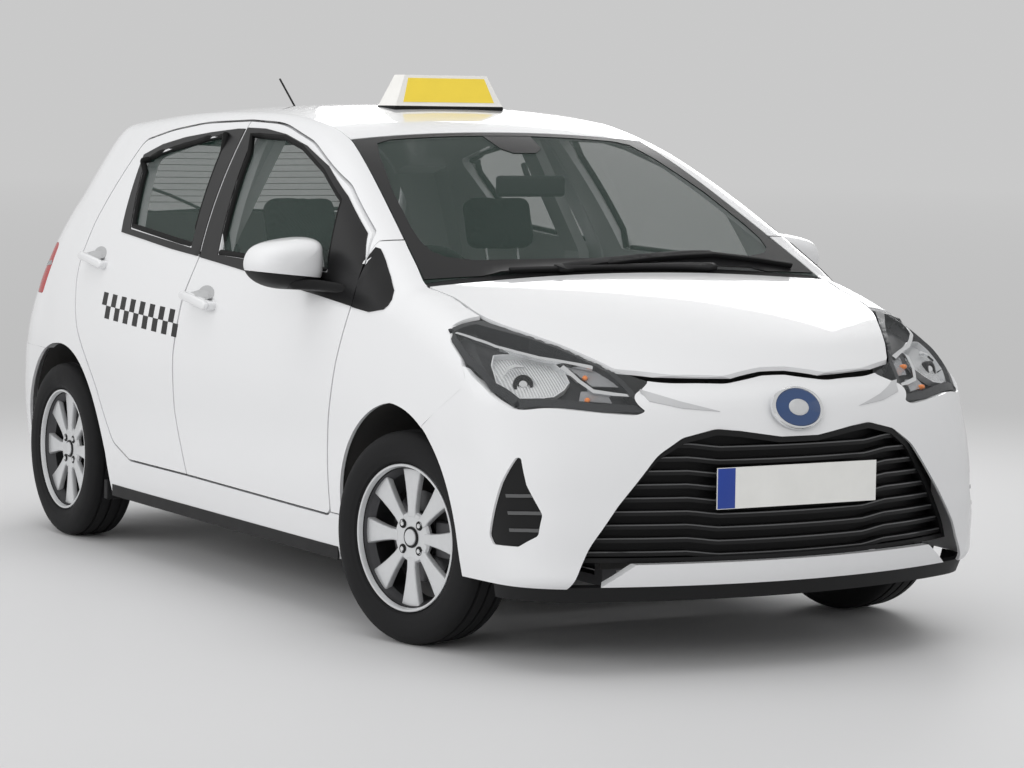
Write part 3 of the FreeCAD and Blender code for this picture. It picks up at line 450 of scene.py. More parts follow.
def outwards(obj):
    editing(obj)
    bpy.ops.mesh.remove_doubles(threshold=0.00002)
    bpy.ops.mesh.normals_make_consistent(inside=False)
    return alone(obj)


def settle(obj, name, finish, body="root", smooth=32):
    alone(obj)
    obj.name = name
    placeApplied()
    bpy.ops.object.shade_smooth_by_angle(angle=math.radians(smooth))
    coat(obj, finish)
    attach(obj, body)
    return obj


def pullOut(way):
    bpy.ops.mesh.extrude_region_move(TRANSFORM_OT_translate={"value": way})


def traced(points, fill=True):
    alone()
    bpy.ops.mesh.primitive_plane_add(size=0.01, location=points[0])
    obj = editing(bpy.context.object)
    bpy.ops.mesh.select_mode(type="VERT")
    bpy.ops.mesh.merge(type="CENTER")
    for here, there in zip(points, points[1:]):
        pullOut(Vector(there) - Vector(here))
    bpy.ops.mesh.select_all(action="SELECT")
    if fill:
        bpy.ops.mesh.edge_face_add()
    return obj


def slab(points, way):
    traced(points)
    pullOut(Vector(way))
    return outwards(bpy.context.object)


def spun(profile, centre, axis, steps=48):
    traced(profile, False)
    bpy.ops.mesh.spin(steps=steps, angle=math.tau, center=centre, axis=axis)
    return outwards(bpy.context.object)


def thickened(wire, radius, rings=3, caps=True):
    alone(wire)
    bpy.ops.object.convert(target="CURVE")
    wire.data.bevel_depth = radius
    wire.data.bevel_resolution = rings
    wire.data.use_fill_caps = caps
    bpy.ops.object.convert(target="MESH")
    return outwards(wire)


def tube(points, radius, rings=3):
    return thickened(traced(points, False), radius, rings)


def block(low, high, edge=0.004, rounds=3):
    alone()
    low, high = Vector(low), Vector(high)
    bpy.ops.mesh.primitive_cube_add(size=1, location=(low + high) / 2, scale=high - low)
    obj = bpy.context.object
    placeApplied()
    return softened(obj, edge, rounds)


views = {  # where an outline is drawn, and the way it is pressed onto the body
    "side": (lambda a, b: Vector((a, -1.15, b)), Vector((0, 1, 0))),
    "front": (lambda a, b: Vector((2.3, a, b)), Vector((-1, 0, 0))),
    "rear": (lambda a, b: Vector((-2.3, a, b)), Vector((1, 0, 0))),
    "top": (lambda a, b: Vector((a, b, 1.9)), Vector((0, 0, -1))),
}


def drawn(points, view, hole=None, step=0.03):
    # a sheet inside the outline, cut into a grid so that it can follow a curved panel
    place, way = views[view]
    if hole:
        obj = slab([place(*p) for p in points], way * 0.02)
        tool = slab([place(*p) - way * 0.05 for p in hole], way * 0.2)
        cutBy(obj, tool)
        removeFaces(obj, lambda face: face.normal.dot(way) > -0.9)
    else:
        obj = traced([place(*p) for p in points])
    obj.update_from_editmode()
    lines = [obj.matrix_world @ p.co for p in obj.data.vertices]
    for axis in (i for i in range(3) if abs(way[i]) < 0.5):
        low, high = min(p[axis] for p in lines), max(p[axis] for p in lines)
        count = max(1, round((high - low) / step))
        for i in range(1, count):
            at, normal = Vector(lines[0]), Vector((0, 0, 0))
            at[axis], normal[axis] = low + (high - low) * i / count, 1
            sliced(at, normal)
    alone(obj)
    placeApplied()
    return obj


def template(*names):
    alone()
    for name in names:
        cadNodes[name].select_set(True)
    bpy.context.view_layer.objects.active = cadNodes[names[0]]
    bpy.ops.object.duplicate()
    if len(names) > 1:
        bpy.ops.object.join()
    made = bpy.context.object
    made.parent = None
    for key in [k for k in made.keys() if k.startswith("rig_")]:
        del made[key]
    return made


def laidOn(obj, view, targets):
    place, way = views[view]
    body = template(*targets)
    axis = max(range(3), key=lambda i: abs(way[i]))
    forward = way[axis] > 0
    turn = {"use_project_" + letter: i == axis for i, letter in enumerate("xyz")}
    modify(obj, "SHRINKWRAP", target=body, wrap_method="PROJECT", **turn,
           use_positive_direction=forward, use_negative_direction=not forward)
    bpy.data.objects.remove(body)
    steady(obj, axis, place(0, 0)[axis])
    return way


def pressed(obj, view, targets, proud, inside):
    # a sheet on the nodes, standing proud of them and reaching inside
    way = laidOn(obj, view, targets)
    if sum((f.normal * f.area for f in obj.data.polygons), Vector()).dot(way) > 0:
        editing(obj)
        bpy.ops.mesh.flip_normals()
        alone(obj)
    thick = proud + inside
    modify(obj, "SOLIDIFY", thickness=thick, offset=2 * proud / thick - 1, use_even_offset=True)
    return outwards(obj)


def fitted(outline, view, nodes, proud=0.0022, inside=0.003, step=0.03, hole=None):
    # an outline drawn beside the car and laid on the named nodes
    return pressed(drawn(outline, view, hole, step), view, nodes.split(), proud, inside)


def steady(obj, axis, start, jump=0.04):
    # a point that missed the body, or fell through a gap, takes the level of its neighbours
    near = {}
    for edge in obj.data.edges:
        a, b = edge.vertices
        near.setdefault(a, []).append(b)
        near.setdefault(b, []).append(a)
    points = obj.data.vertices
    level = [p.co[axis] for p in points]
    lost = {i for i in near if abs(level[i] - start) < 0.001}
    for i, others in near.items():
        around = sorted(level[j] for j in others if j not in lost)
        if around and abs(level[i] - around[len(around) // 2]) > jump:
            lost.add(i)
    while lost:
        ready = {i: [level[j] for j in near[i] if j not in lost] for i in lost}
        ready = {i: sum(around) / len(around) for i, around in ready.items() if around}
        if not ready:
            break
        for i, depth in ready.items():
            level[i] = depth
        lost -= set(ready)
    for point, depth in zip(points, level):
        point.co[axis] = depth


def duplicated(obj):
    alone(obj)
    bpy.ops.object.duplicate()
    return bpy.context.object


def copied(obj, name, body, move=(0, 0, 0), mirror=False):
    twin = editing(duplicated(obj))
    bpy.ops.transform.translate(value=move)
    if mirror:
        bpy.ops.transform.resize(value=(1, -1, 1), center_override=(0, 0, 0))
        bpy.ops.mesh.normals_make_consistent(inside=False)
    alone(twin)
    twin.name = name
    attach(twin, body)
    return twin


def ribbon(path, width):
    # a flat outline around a path, with one width or one for each of its points
    wide = width if isinstance(width, (list, tuple)) else [width] * len(path)
    one, other = [], []
    for i, (a, b) in enumerate(path):
        way = (Vector(path[min(i + 1, len(path) - 1)]) - Vector(path[max(i - 1, 0)])).normalized()
        one.append((a - way.y * wide[i] / 2, b + way.x * wide[i] / 2))
        other.append((a + way.y * wide[i] / 2, b - way.x * wide[i] / 2))
    return one + other[::-1]


def grown(points, by):
    # the same outline, moved outwards from its middle
    middle = sum((Vector(p) for p in points), Vector((0, 0))) / len(points)
    arms = [Vector(p) - middle for p in points]
    return [tuple(middle + arm * (1 + by / arm.length)) for arm in arms]


def facing(obj, at, way):
    turn = Vector(way).to_track_quat("X", "Z").to_matrix().to_4x4()
    obj.matrix_world = Matrix.Translation(at) @ turn
    return obj


def spunAt(profile, at, way, steps=40):
    # profile rows are (radius, distance along the way it faces)
    obj = spun([(along, radius, 0) for radius, along in profile], (0, 0, 0), (1, 0, 0), steps)
    placeApplied()
    facing(obj, at, way)
    placeApplied()
    return obj


def standsFor(name, node):
    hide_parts(node)


def bothSides(obj, stem, finish, body="root", smooth=32):
    # the right-hand piece, and its mirrored twin on the left
    right = settle(obj, stem + "_right", finish, body.format("right"), smooth)
    return right, copied(right, stem + "_left", body.format("left"), mirror=True)


# wheels: rim, spokes, cap, nuts, tyre and brake
wheel = {
    "frontX": 1.175, "rearX": -1.335, "y": -0.735, "z": 0.3,
    "spokes": 8,
    "nuts": 4,
    "nutCircle": 0.05,
    "restSteer": 12,
    "kingpin": 0.7,
    "tyre": 0.3,
    "halfWidth": 0.0875,
}


def ring(profile, steps=64):
    # profile rows are (radius, distance out from the wheel's middle plane)
    return spun([(r, -out, 0) for r, out in profile], (0, 0, 0), (0, 1, 0), steps)


def wheelPlace(obj, x):
    editing(obj)
    bpy.ops.transform.translate(value=(x, wheel["y"], wheel["z"]))
    return alone(obj)


def joined(*parts):
    alone()
    for part in parts:
        part.select_set(True)
    bpy.context.view_layer.objects.active = parts[0]
    bpy.ops.object.join()
    return bpy.context.object


def turnedCopies(obj, count):
    made = [obj]
    for i in range(1, count):
        made.append(turned(duplicated(obj), -math.tau * i / count, "Y", (0, 0, 0)))
    return joined(*made)


def spokePiece():
    # a broad flat arm, crowned out to the lip, with bevelled flanks
    half = [(0.056, 0.018), (0.085, 0.018), (0.12, 0.0235), (0.15, 0.03), (0.178, 0.0375),
            (0.201, 0.0445)]
    outline = [(r, -0.03, w) for r, w in half] + [(r, -0.03, -w) for r, w in reversed(half)]
    obj = traced(outline)
    pullOut((0, -0.02, 0))
    bpy.ops.transform.resize(value=(1, 1, 0.9), center_override=(0.12, -0.05, 0.0))
    outwards(obj)
    for r in (0.075, 0.1, 0.13, 0.16, 0.185):
        editing(obj)
        sliced((r, 0, 0), (1, 0, 0))
        alone(obj)
    for point in obj.data.vertices:
        share = max(0.0, (point.co.x - 0.056) / 0.145)
        if point.co.y < -0.045:
            point.co.y -= 0.021 * share ** 1.5
    return softened(obj, 0.0045, sharp=0.5)


def rimPiece():
    lip = ring([(0.2068, 0.0742), (0.2048, 0.0755), (0.2005, 0.0748), (0.198, 0.07),
                (0.196, 0.06), (0.1995, 0.06), (0.1995, 0.066), (0.2068, 0.069)], 96)
    hub = ring([(0.0172, 0.036), (0.0172, 0.046), (0.026, 0.0475), (0.034, 0.0475),
                (0.056, 0.0485), (0.068, 0.047), (0.073, 0.04), (0.071, 0.03), (0.0172, 0.026)])
    spokes = turnedCopies(spokePiece(), wheel["spokes"])
    return lip, hub, spokes


def aroundHub(make):
    angles = [math.tau * (i + 0.5) / wheel["nuts"] for i in range(wheel["nuts"])]
    return joined(*[make(wheel["nutCircle"] * math.cos(a), wheel["nutCircle"] * math.sin(a))
                    for a in angles])


def nutCup(x, z):
    return spun([(x, -0.0488, z), (x + 0.01, -0.049, z), (x + 0.0115, -0.0505, z),
                 (x + 0.0128, -0.0505, z), (x + 0.0135, -0.048, z), (x + 0.0125, -0.04, z)],
                (x, 0, z), (0, 1, 0), 24)


def nut(x, z):
    alone()
    bpy.ops.mesh.primitive_cylinder_add(vertices=6, radius=0.0075, depth=0.014,
                                        location=(x, -0.0465, z), rotation=(math.pi / 2, 0, 0))
    placeApplied()
    return softened(bpy.context.object, 0.0015)


def tyrePiece():
    t, w = wheel["tyre"], wheel["halfWidth"]
    half = [(0.1932, 0.06), (0.2085, 0.07), (0.2125, 0.0735), (0.215, 0.079), (0.228, 0.0838),
            (0.2292, 0.0846), (0.236, 0.0853), (0.248, w), (0.263, 0.0866), (0.276, 0.0836),
            (0.278, 0.0822), (0.286, 0.0785), (0.293, 0.0715), (0.2968, 0.064), (0.2985, 0.056),
            (0.299, 0.044), (0.2915, 0.0425), (0.2915, 0.0345), (0.2995, 0.033),
            (t, 0.018), (0.2995, 0.0045), (0.2915, 0.0035)]
    profile = half + [(r, -out) for r, out in reversed(half)]
    return ring(profile, 96)


alloyParts = joined(*rimPiece())
barrel = ring([(0.1965, 0.061), (0.19, 0.044), (0.18, 0.03), (0.177, -0.035),
               (0.19, -0.056), (0.2, -0.074), (0.2068, -0.0745), (0.2068, -0.069),
               (0.1935, -0.064), (0.182, -0.03), (0.183, 0.034), (0.199, 0.0605)], 96)
cupPart, nutPart = aroundHub(nutCup), aroundHub(nut)
capPart = ring([(0.0, 0.0565), (0.012, 0.0562), (0.0215, 0.0545), (0.0232, 0.0525),
                (0.0232, 0.044), (0.0, 0.044)], 40)
capRing = ring([(0.0225, 0.05), (0.026, 0.0518), (0.0295, 0.0505), (0.0305, 0.0465),
                (0.0225, 0.044)], 40)
tyrePart = tyrePiece()
discPart = ring([(0.07, 0.004), (0.128, 0.004), (0.1285, 0.002), (0.1285, -0.008),
                 (0.128, -0.01), (0.07, -0.01), (0.064, 0.012), (0.04, 0.012),
                 (0.04, 0.02), (0.068, 0.02)])
caliperPart = cutBy(block((0.074, -0.024, -0.052), (0.138, 0.034, 0.052), 0.006),
                    block((0.06, -0.01, -0.08), (0.1315, 0.017, 0.08), 0.002))


def steered(obj, hand):
    # the front wheels rest turned a little to the left, about their kingpins
    centre = (wheel["frontX"], handed[hand] * wheel["kingpin"], 0)
    return turned(obj, -math.radians(wheel["restSteer"]), "Z", centre)


wheelParts = {
    "rim": (alloyParts, "alloy"),
    "rim_barrel": (barrel, "darkMetal"),
    "nut_cups": (cupPart, "plastic"),
    "wheel_nuts": (nutPart, "chrome"),
    "hub_cap": (capPart, "silver"),
    "cap_ring": (capRing, "gloss"),
    "tyre_tread": (tyrePart, "tyre"),
    "brake_disc": (discPart, "disc"),
}
for stem, (part, finish) in wheelParts.items():
    first = wheelPlace(part, wheel["frontX"])
    settle(first, stem + "_front_right", finish, "wheel_front_right", 28)
    back = wheel["rearX"] - wheel["frontX"]
    copied(first, stem + "_rear_right", "wheel_rear_right", (back, 0, 0))
    copied(first, stem + "_rear_left", "wheel_rear_left", (back, 0, 0), mirror=True)
    steered(copied(first, stem + "_front_left", "wheel_front_left", mirror=True), "left")
    steered(first, "right")
for place in ("front_right", "front_left", "rear_right", "rear_left"):
    standsFor("rim_" + place, "wheel_" + place)
    standsFor("tyre_tread_" + place, "tyre_" + place)
wheelPlace(caliperPart, wheel["frontX"])
calipers = bothSides(caliperPart, "brake_caliper", "darkMetal", "knuckle_{}")
for hand, caliper in zip(handed, calipers):
    steered(caliper, hand)
print("wheels are made")


# headlamps, from the top: each part is pressed to its own depth below the clear cover
lamp = {
    "outline": [(1.352, -0.758), (1.362, -0.714), (1.376, -0.664), (1.52, -0.578), (1.64, -0.512),
                (1.721, -0.459), (1.794, -0.436), (1.848, -0.415), (1.8, -0.537), (1.73, -0.66),
                (1.686, -0.729), (1.606, -0.766), (1.486, -0.779), (1.395, -0.77)],
    "sight": [(1.372, -0.75), (1.385, -0.69), (1.525, -0.592), (1.642, -0.525), (1.722, -0.474),
              (1.786, -0.452), (1.826, -0.44), (1.785, -0.535), (1.718, -0.652), (1.68, -0.714),
              (1.604, -0.752), (1.488, -0.766), (1.402, -0.758)],
    "brow": [(1.372, -0.75), (1.451, -0.725), (1.512, -0.698), (1.559, -0.659), (1.602, -0.618),
             (1.648, -0.558), (1.692, -0.501)],
    "bowl": [(1.53, -0.716), (1.556, -0.738), (1.607, -0.75), (1.668, -0.716), (1.698, -0.673),
             (1.714, -0.635), (1.712, -0.604), (1.701, -0.58), (1.664, -0.577), (1.62, -0.59),
             (1.565, -0.646)],
    "branch": [(1.655, -0.575), (1.714, -0.556), (1.752, -0.534), (1.779, -0.487), (1.801, -0.44)],
    "upper": [(1.651, -0.558), (1.703, -0.48), (1.764, -0.455), (1.733, -0.526)],
    "lower": [(1.735, -0.562), (1.76, -0.5), (1.792, -0.498), (1.752, -0.578)],
    "crescent": [(1.6, -0.724), (1.59, -0.706), (1.592, -0.684), (1.606, -0.664)],
    "projector": (1.622, -0.676, 0.757),
    "bulbs": {"upper": (1.696, -0.528, 0.776), "lower": (1.75, -0.552, 0.722)},
    "way": (0.86, -0.46, 0.22),
}


def lampPart(stem, outline, depth, thick, finish, hole=None, step=0.015):
    bothSides(fitted(outline, "top", "headlamps", -depth, depth + thick, step, hole), stem, finish)


lampPart("lamp_back", grown(lamp["outline"], -0.002), 0.04, 0.003, "lampDark", step=0.02)
lampPart("lamp_rim", lamp["outline"], 0.0015, 0.04, "lampDark", lamp["sight"])
lampPart("lamp_brow", ribbon(lamp["brow"], [0.005, 0.009, 0.01, 0.01, 0.01, 0.01, 0.012]),
         0.004, 0.01, "chrome")
lampPart("lamp_bowl", lamp["bowl"], 0.03, 0.004, "reflector")
lampPart("lamp_bowl_rim", grown(lamp["bowl"], 0.003), 0.014, 0.018, "silver",
         grown(lamp["bowl"], 0.0))
lampPart("lamp_branch", ribbon(lamp["branch"], [0.013, 0.01, 0.009, 0.008, 0.005]),
         0.006, 0.008, "chrome")
lampPart("lamp_cell_upper", lamp["upper"], 0.018, 0.003, "cell")
lampPart("lamp_cell_lower", lamp["lower"], 0.016, 0.003, "cell")
lampPart("lamp_crescent", ribbon(lamp["crescent"], [0.003, 0.01, 0.01, 0.003]),
         0.014, 0.006, "chrome")
bezel = spunAt([(0.015, 0.004), (0.02, 0.01), (0.026, 0.01), (0.028, 0.004), (0.027, -0.01),
                (0.015, -0.01)], lamp["projector"], lamp["way"])
bothSides(bezel, "projector_ring", "gloss")
lens = spunAt([(0.0, 0.012), (0.006, 0.0112), (0.012, 0.008), (0.0155, 0.003), (0.0155, -0.006),
               (0.0, -0.006)], lamp["projector"], lamp["way"])
bothSides(lens, "projector_lens", "chrome")
for stem, at in lamp["bulbs"].items():
    bulb = spunAt([(0.0, 0.012), (0.005, 0.0105), (0.0078, 0.004), (0.0078, -0.006),
                   (0.005, -0.012), (0.0, -0.012)], at, lamp["way"], 24)
    bothSides(bulb, "lamp_bulb_" + stem, "amber")
print("headlamps are made")


# badge: a plain oval with no mark on it
badge = {"at": (1.9325, 0, 0.699), "faces": (0.93, 0, 0.37), "stretch": (1, 1.42, 1.03)}


def oval(profile, finish, name):
    made = spunAt(profile, (0, 0, 0), (1, 0, 0), 56)
    editing(made)
    bpy.ops.transform.resize(value=badge["stretch"], center_override=(0, 0, 0))
    settle(facing(alone(made), badge["at"], badge["faces"]), name, finish)


oval([(0.0, 0.0075), (0.049, 0.0062), (0.0515, 0.004), (0.0515, -0.006), (0.0, -0.006)],
     "badgeBlue", "badge_field")
oval([(0.05, 0.0035), (0.0525, 0.008), (0.0562, 0.0075), (0.0585, 0.003), (0.0585, -0.006),
      (0.05, -0.006)], "chrome", "badge_ring")
oval([(0.0, 0.012), (0.018, 0.0112), (0.0225, 0.0075), (0.0225, 0.002), (0.0, 0.002)],
     "silver", "badge_centre")

# grey spears from the lamps towards the badge
spear = fitted([(-0.424, 0.752), (-0.33, 0.721), (-0.228, 0.694), (-0.33, 0.7035),
                (-0.41, 0.722)], "front", "front_bumper bonnet", step=0.015)
bothSides(spear, "nose_spear", "greyPaint")


# painted highlights along the grille's louvres: light grey tubes on the slats' top edges, and the
# plate's band
louvre = {
    "reach": [0.606, 0.59, 0.566, 0.54, 0.512, 0.484, 0.453, 0.422, 0.392],
    "stops": (0.0, 0.08, 0.16, 0.235, 0.26, 0.3, 0.325, 0.38, 0.44),
    "lowest": 0.313,
    "pitch": 0.036,
    "lift": 0.01,
}


def louvreFace(y):
    return 1.9362 - 0.395 * y * y


for i, reach in enumerate(louvre["reach"]):
    low = louvre["lowest"] + louvre["pitch"] * i
    rows = [(y, low + louvre["lift"] * min(1.0, max(0.0, (y - 0.24) / 0.08)))
            for y in (*louvre["stops"], reach)]
    rows = sorted({(sign * y, z) for y, z in rows if y <= reach for sign in (-1, 1)})
    edge = tube([(louvreFace(y), y, z) for y, z in rows], 0.0022, 2)
    settle(edge, f"louvre_highlight_{i + 1}", "louvre")
# slats across the fog recesses, in the light grey that paints the louvre highlights
for i, height in enumerate((0.385, 0.43, 0.475)):
    slat = [(-0.762 - 0.002 * i, height - 0.003), (-0.735, height), (-0.705, height + 0.001)]
    slat = fitted(ribbon(slat, 0.009), "front", "fog_bezels", 0.004, 0.002, 0.02)
    bothSides(slat, f"fog_slat_{i + 1}", "louvre")
band = block((1.9412, -0.259, 0.438), (1.9428, -0.203, 0.546), 0.0005, 2)
settle(band, "plate_band_front", "blue")
print("badge, spears and grille are dressed")


# black window surrounds, with the sail ahead of the front glass
surround = {
    "front": [(-0.262, 1.014), (-0.341, 1.424), (-0.2, 1.422), (-0.039, 1.407), (0.158, 1.373),
              (0.37, 1.316), (0.576, 1.231), (0.775, 1.13), (0.8375, 1.06), (0.845, 1.045),
              (0.845, 0.924), (0.65, 0.941), (0.493, 0.953), (0.26, 0.974), (0.042, 0.992)],
    "rear": [(-0.2735, 1.016), (-0.5, 1.03), (-0.74, 1.05), (-0.957, 1.067), (-0.976, 1.106),
             (-1.06, 1.325), (-0.94, 1.362), (-0.78, 1.388), (-0.6, 1.406), (-0.404, 1.42),
             (-0.353, 1.42)],
    "frontGlass": [(-0.133, 1.031), (-0.258, 1.401), (-0.035, 1.397), (0.125, 1.37),
                   (0.356, 1.3), (0.559, 1.214), (0.638, 1.013)],
    "rearGlass": [(-0.353, 1.043), (-0.456, 1.401), (-0.6, 1.388), (-0.76, 1.365),
                  (-0.9, 1.342), (-1.002, 1.3155), (-1.013, 1.302), (-0.885, 1.085)],
    "sail": [(0.848, 1.06), (0.848, 1.092), (0.868, 1.088), (0.915, 1.06), (0.983, 1.016),
             (1.03, 0.98), (1.046, 0.955), (1.044, 0.938), (1.03, 0.926), (0.951, 0.914),
             (0.848, 0.922)],
    "proud": 0.0026,
    "holeGap": 0.0055,
    "sealInset": -0.003,
    "sealRadius": 0.0108,
}


def edgeSeal(outline, target):
    # a rubber bead around a window, lying between the glass and the door's edge
    place = views["side"][0]
    bead = alone(traced([place(x, z) for x, z in outline + outline[:1]], False))
    placeApplied()
    editing(bead)
    bpy.ops.mesh.subdivide(number_cuts=5)
    laidOn(alone(bead), "side", [target])
    editing(bead)
    bpy.ops.transform.translate(value=(0, -0.0015, 0.001))
    return thickened(bead, surround["sealRadius"], caps=False)


for place, target in (("front", "door_front_right"), ("rear", "door_rear_right")):
    glass = surround[place + "Glass"]
    band = fitted(surround[place], "side", target, surround["proud"], step=0.02,
                  hole=grown(glass, surround["holeGap"]))
    bothSides(band, "surround_" + place, "gloss", "door_" + place + "_{}")
    seal = edgeSeal(grown(glass, surround["sealInset"]), "door_glass_" + place + "_right")
    bothSides(seal, "glass_seal_" + place, "rubber", "door_" + place + "_{}")
sail = fitted(surround["sail"], "side", "front_fenders side_frames", surround["proud"], step=0.02)
bothSides(sail, "sail_plate", "gloss")
print("window surrounds are fitted")


# door handles, side mirrors and the checker strip
handles = {
    "front": {"x": -0.15, "z": 0.884, "level": -0.838},
    "rear": {"x": -1.095, "z": 0.966, "level": -0.796},
}
handleShape = [(-0.099, 0.004), (-0.098, 0.021), (-0.08, 0.027), (0.0, 0.017), (0.084, 0.005),
               (0.099, -0.004), (0.097, -0.018), (0.08, -0.023), (0.0, -0.012), (-0.086, 0.0)]
for place, spot in handles.items():
    bar = slab([(spot["x"] + x, spot["level"], spot["z"] + z) for x, z in handleShape],
               (0, -0.017, 0))
    bothSides(softened(bar, 0.0065, 4, 0.6), "handle_" + place, "paint", "door_" + place + "_{}")
    # a grey oval on the door above each bar, painted shade standing for the handle's recess
    cupLine = [(spot["x"] + 0.004 + 0.06 * math.cos(a), spot["z"] + 0.022 + 0.026 * math.sin(a))
               for a in (math.tau * i / 20 for i in range(20))]
    cup = fitted(cupLine, "side", "door_" + place + "_right", 0.0008, 0.002, 0.02)
    bothSides(cup, "handle_cup_shade_" + place, "paintedShade", "door_" + place + "_{}")
print("handles are made")
checker = {"rear": -0.962, "front": -0.31, "topRear": 0.867, "topFront": 0.842, "height": 0.084,
           "columns": 16}


def checkerSheet():
    slope = (checker["topFront"] - checker["topRear"]) / (checker["front"] - checker["rear"])
    ends = [(checker["rear"], checker["topRear"]), (checker["front"], checker["topFront"])]
    points = ends + [(x, z - checker["height"]) for x, z in reversed(ends)]
    sheet = traced([views["side"][0](x, z) for x, z in points])
    wide = (checker["front"] - checker["rear"]) / checker["columns"]
    cuts = [((checker["rear"] + wide * i / 2, 0, 0), (1, 0, 0))
            for i in range(1, checker["columns"] * 2)]
    middle = (checker["rear"], 0, checker["topRear"] - checker["height"] / 2)
    cuts.append((middle, (-slope, 0, 1)))
    for at, normal in cuts:
        sliced(at, normal)
    alone(sheet)
    placeApplied()

    def spare(face):
        along = (face.center.x - checker["rear"]) / wide
        upper = face.center.z > middle[2] + slope * (face.center.x - checker["rear"])
        return (int(along) + upper) % 2 == 0

    removeFaces(sheet, spare)
    return alone(sheet)


bothSides(pressed(checkerSheet(), "side", ["door_rear_right"], 0.0008, 0.002), "checker_strip",
          "gloss", "door_rear_{}")
print("checker strip is on")


# side mirrors: a white cap over a black base, the clear repeater, the glass and the foot
mirror = {
    "outline": [(-0.998, 1.042), (-0.986, 1.075), (-0.952, 1.096), (-0.88, 1.109), (-0.815, 1.114),
                (-0.785, 1.106), (-0.774, 1.085), (-0.776, 0.985), (-0.8, 0.966), (-0.86, 0.958),
                (-0.93, 0.965), (-0.978, 0.99), (-0.996, 1.018)],
    "steps": [(0.03, 1.02), (0.055, 0.96), (0.035, 0.84), (0.022, 0.6)],
    "back": 0.535,
    "middle": (0.0, -0.87, 1.035),
}


def mirrorHead():
    head = traced([(mirror["back"], y, z) for y, z in mirror["outline"]])
    for ahead, size in mirror["steps"]:
        pullOut((ahead, 0, 0))
        bpy.ops.transform.resize(value=(1, size, size), center_override=mirror["middle"])
    outwards(head)
    softened(head, 0.006, 2, 0.9)
    placeApplied()
    return modify(head, "SUBSURF", levels=2, render_levels=2)


def kept(obj, at, normal):
    # the part of a closed form on the normal's far side, closed again
    editing(obj)
    bpy.ops.mesh.bisect(plane_co=at, plane_no=normal, use_fill=True, clear_inner=True)
    return outwards(obj)


cap = kept(mirrorHead(), (0.6, -0.87, 1.004), (0, 0.1, 1))
base = kept(mirrorHead(), (0.6, -0.87, 1.002), (0, -0.1, -1))
bothSides(cap, "mirror_cap", "paint", "door_front_{}", 40)
bothSides(base, "mirror_base", "plastic", "door_front_{}", 40)
repeater = slab([(0.6, -0.9905, 1.018), (0.63, -0.982, 1.016), (0.64, -0.94, 1.008),
                 (0.64, -0.905, 1.002), (0.61, -0.905, 1.002), (0.59, -0.95, 1.006)],
                (0, 0, 0.016))
bothSides(softened(repeater, 0.004), "mirror_repeater", "cell", "door_front_{}")
mirrorGlass = slab([(0.5335, *point) for point in grown(mirror["outline"], -0.016)], (0.004, 0, 0))
bothSides(mirrorGlass, "mirror_glass", "chrome", "door_front_{}")
foot = slab([(0.59, -0.9, 0.962), (0.66, -0.9, 0.966), (0.7, -0.83, 0.962),
             (0.79, -0.782, 0.955), (0.6, -0.782, 0.955), (0.58, -0.83, 0.958)], (0, 0, 0.03))
bothSides(softened(foot, 0.012, 4), "mirror_foot", "plastic", "door_front_{}")
for hand in handed:
    standsFor("mirror_cap_" + hand, "mirror_" + hand)
print("mirrors are made")


# roof sign: yellow panels front and back, on a black gasket
panel = [(-0.166, 1.513), (0.166, 1.513), (0.139, 1.59), (-0.139, 1.59)]
for view in ("front", "rear"):
    settle(fitted(panel, view, "taxi_sign", 0.0008, 0.001, 0.04),
           "sign_panel_" + view, "signYellow")
gasket = slab([(-0.1 + a * 0.063, b * 0.1985, 1.476)
               for a, b in ((1, 1), (1, -1), (-1, -1), (-1, 1))], (0, 0, 0.0255))
settle(softened(gasket, 0.004), "sign_gasket", "rubber")
print("roof sign is dressed")


# windscreen: painted border, sensor cover, inside mirror and wipers
sightSide = [(0.33, 0.452), (0.42, 0.488), (0.62, 0.548), (0.8, 0.583), (0.872, 0.59),
             (0.925, 0.58), (0.958, 0.55), (0.985, 0.47), (1.0, 0.3), (1.008, 0.12)]
screen = {
    "edge": [(0.288, -0.516), (0.288, 0.516), (0.42, 0.544), (0.7, 0.6), (0.9, 0.64),
             (1.045, 0.669), (1.06, 0.5), (1.07, 0.25), (1.074, 0.0), (1.07, -0.25),
             (1.06, -0.5), (1.045, -0.669), (0.9, -0.64), (0.7, -0.6), (0.42, -0.544)],
    "sight": [(0.312, -0.4), (0.31, 0.0), (0.312, 0.4)] + sightSide
             + [(x, -y) for x, y in reversed(sightSide)],
    "pod": [(0.296, -0.075), (0.296, 0.1), (0.4, 0.085), (0.43, 0.05), (0.43, -0.03),
            (0.4, -0.06)],
}
settle(fitted(screen["edge"], "top", "windscreen", 0.0018, 0.002, hole=screen["sight"]),
       "screen_border", "gloss")
settle(fitted(screen["pod"], "top", "windscreen", 0.0012), "sensor_cover", "gloss")
settle(block((0.445, -0.105, 1.225), (0.475, 0.135, 1.29), 0.012, 4), "inside_mirror", "trim")
stalk = tube([(0.415, 0.015, 1.325), (0.43, 0.015, 1.3), (0.455, 0.015, 1.275)], 0.009)
settle(stalk, "inside_mirror_stalk", "trim")


def wiper(name, points, widths):
    blade = fitted(ribbon(points, widths), "top", "windscreen cowl", 0.016, -0.002)
    settle(softened(blade, 0.002, 2, 0.7), name, "plastic")


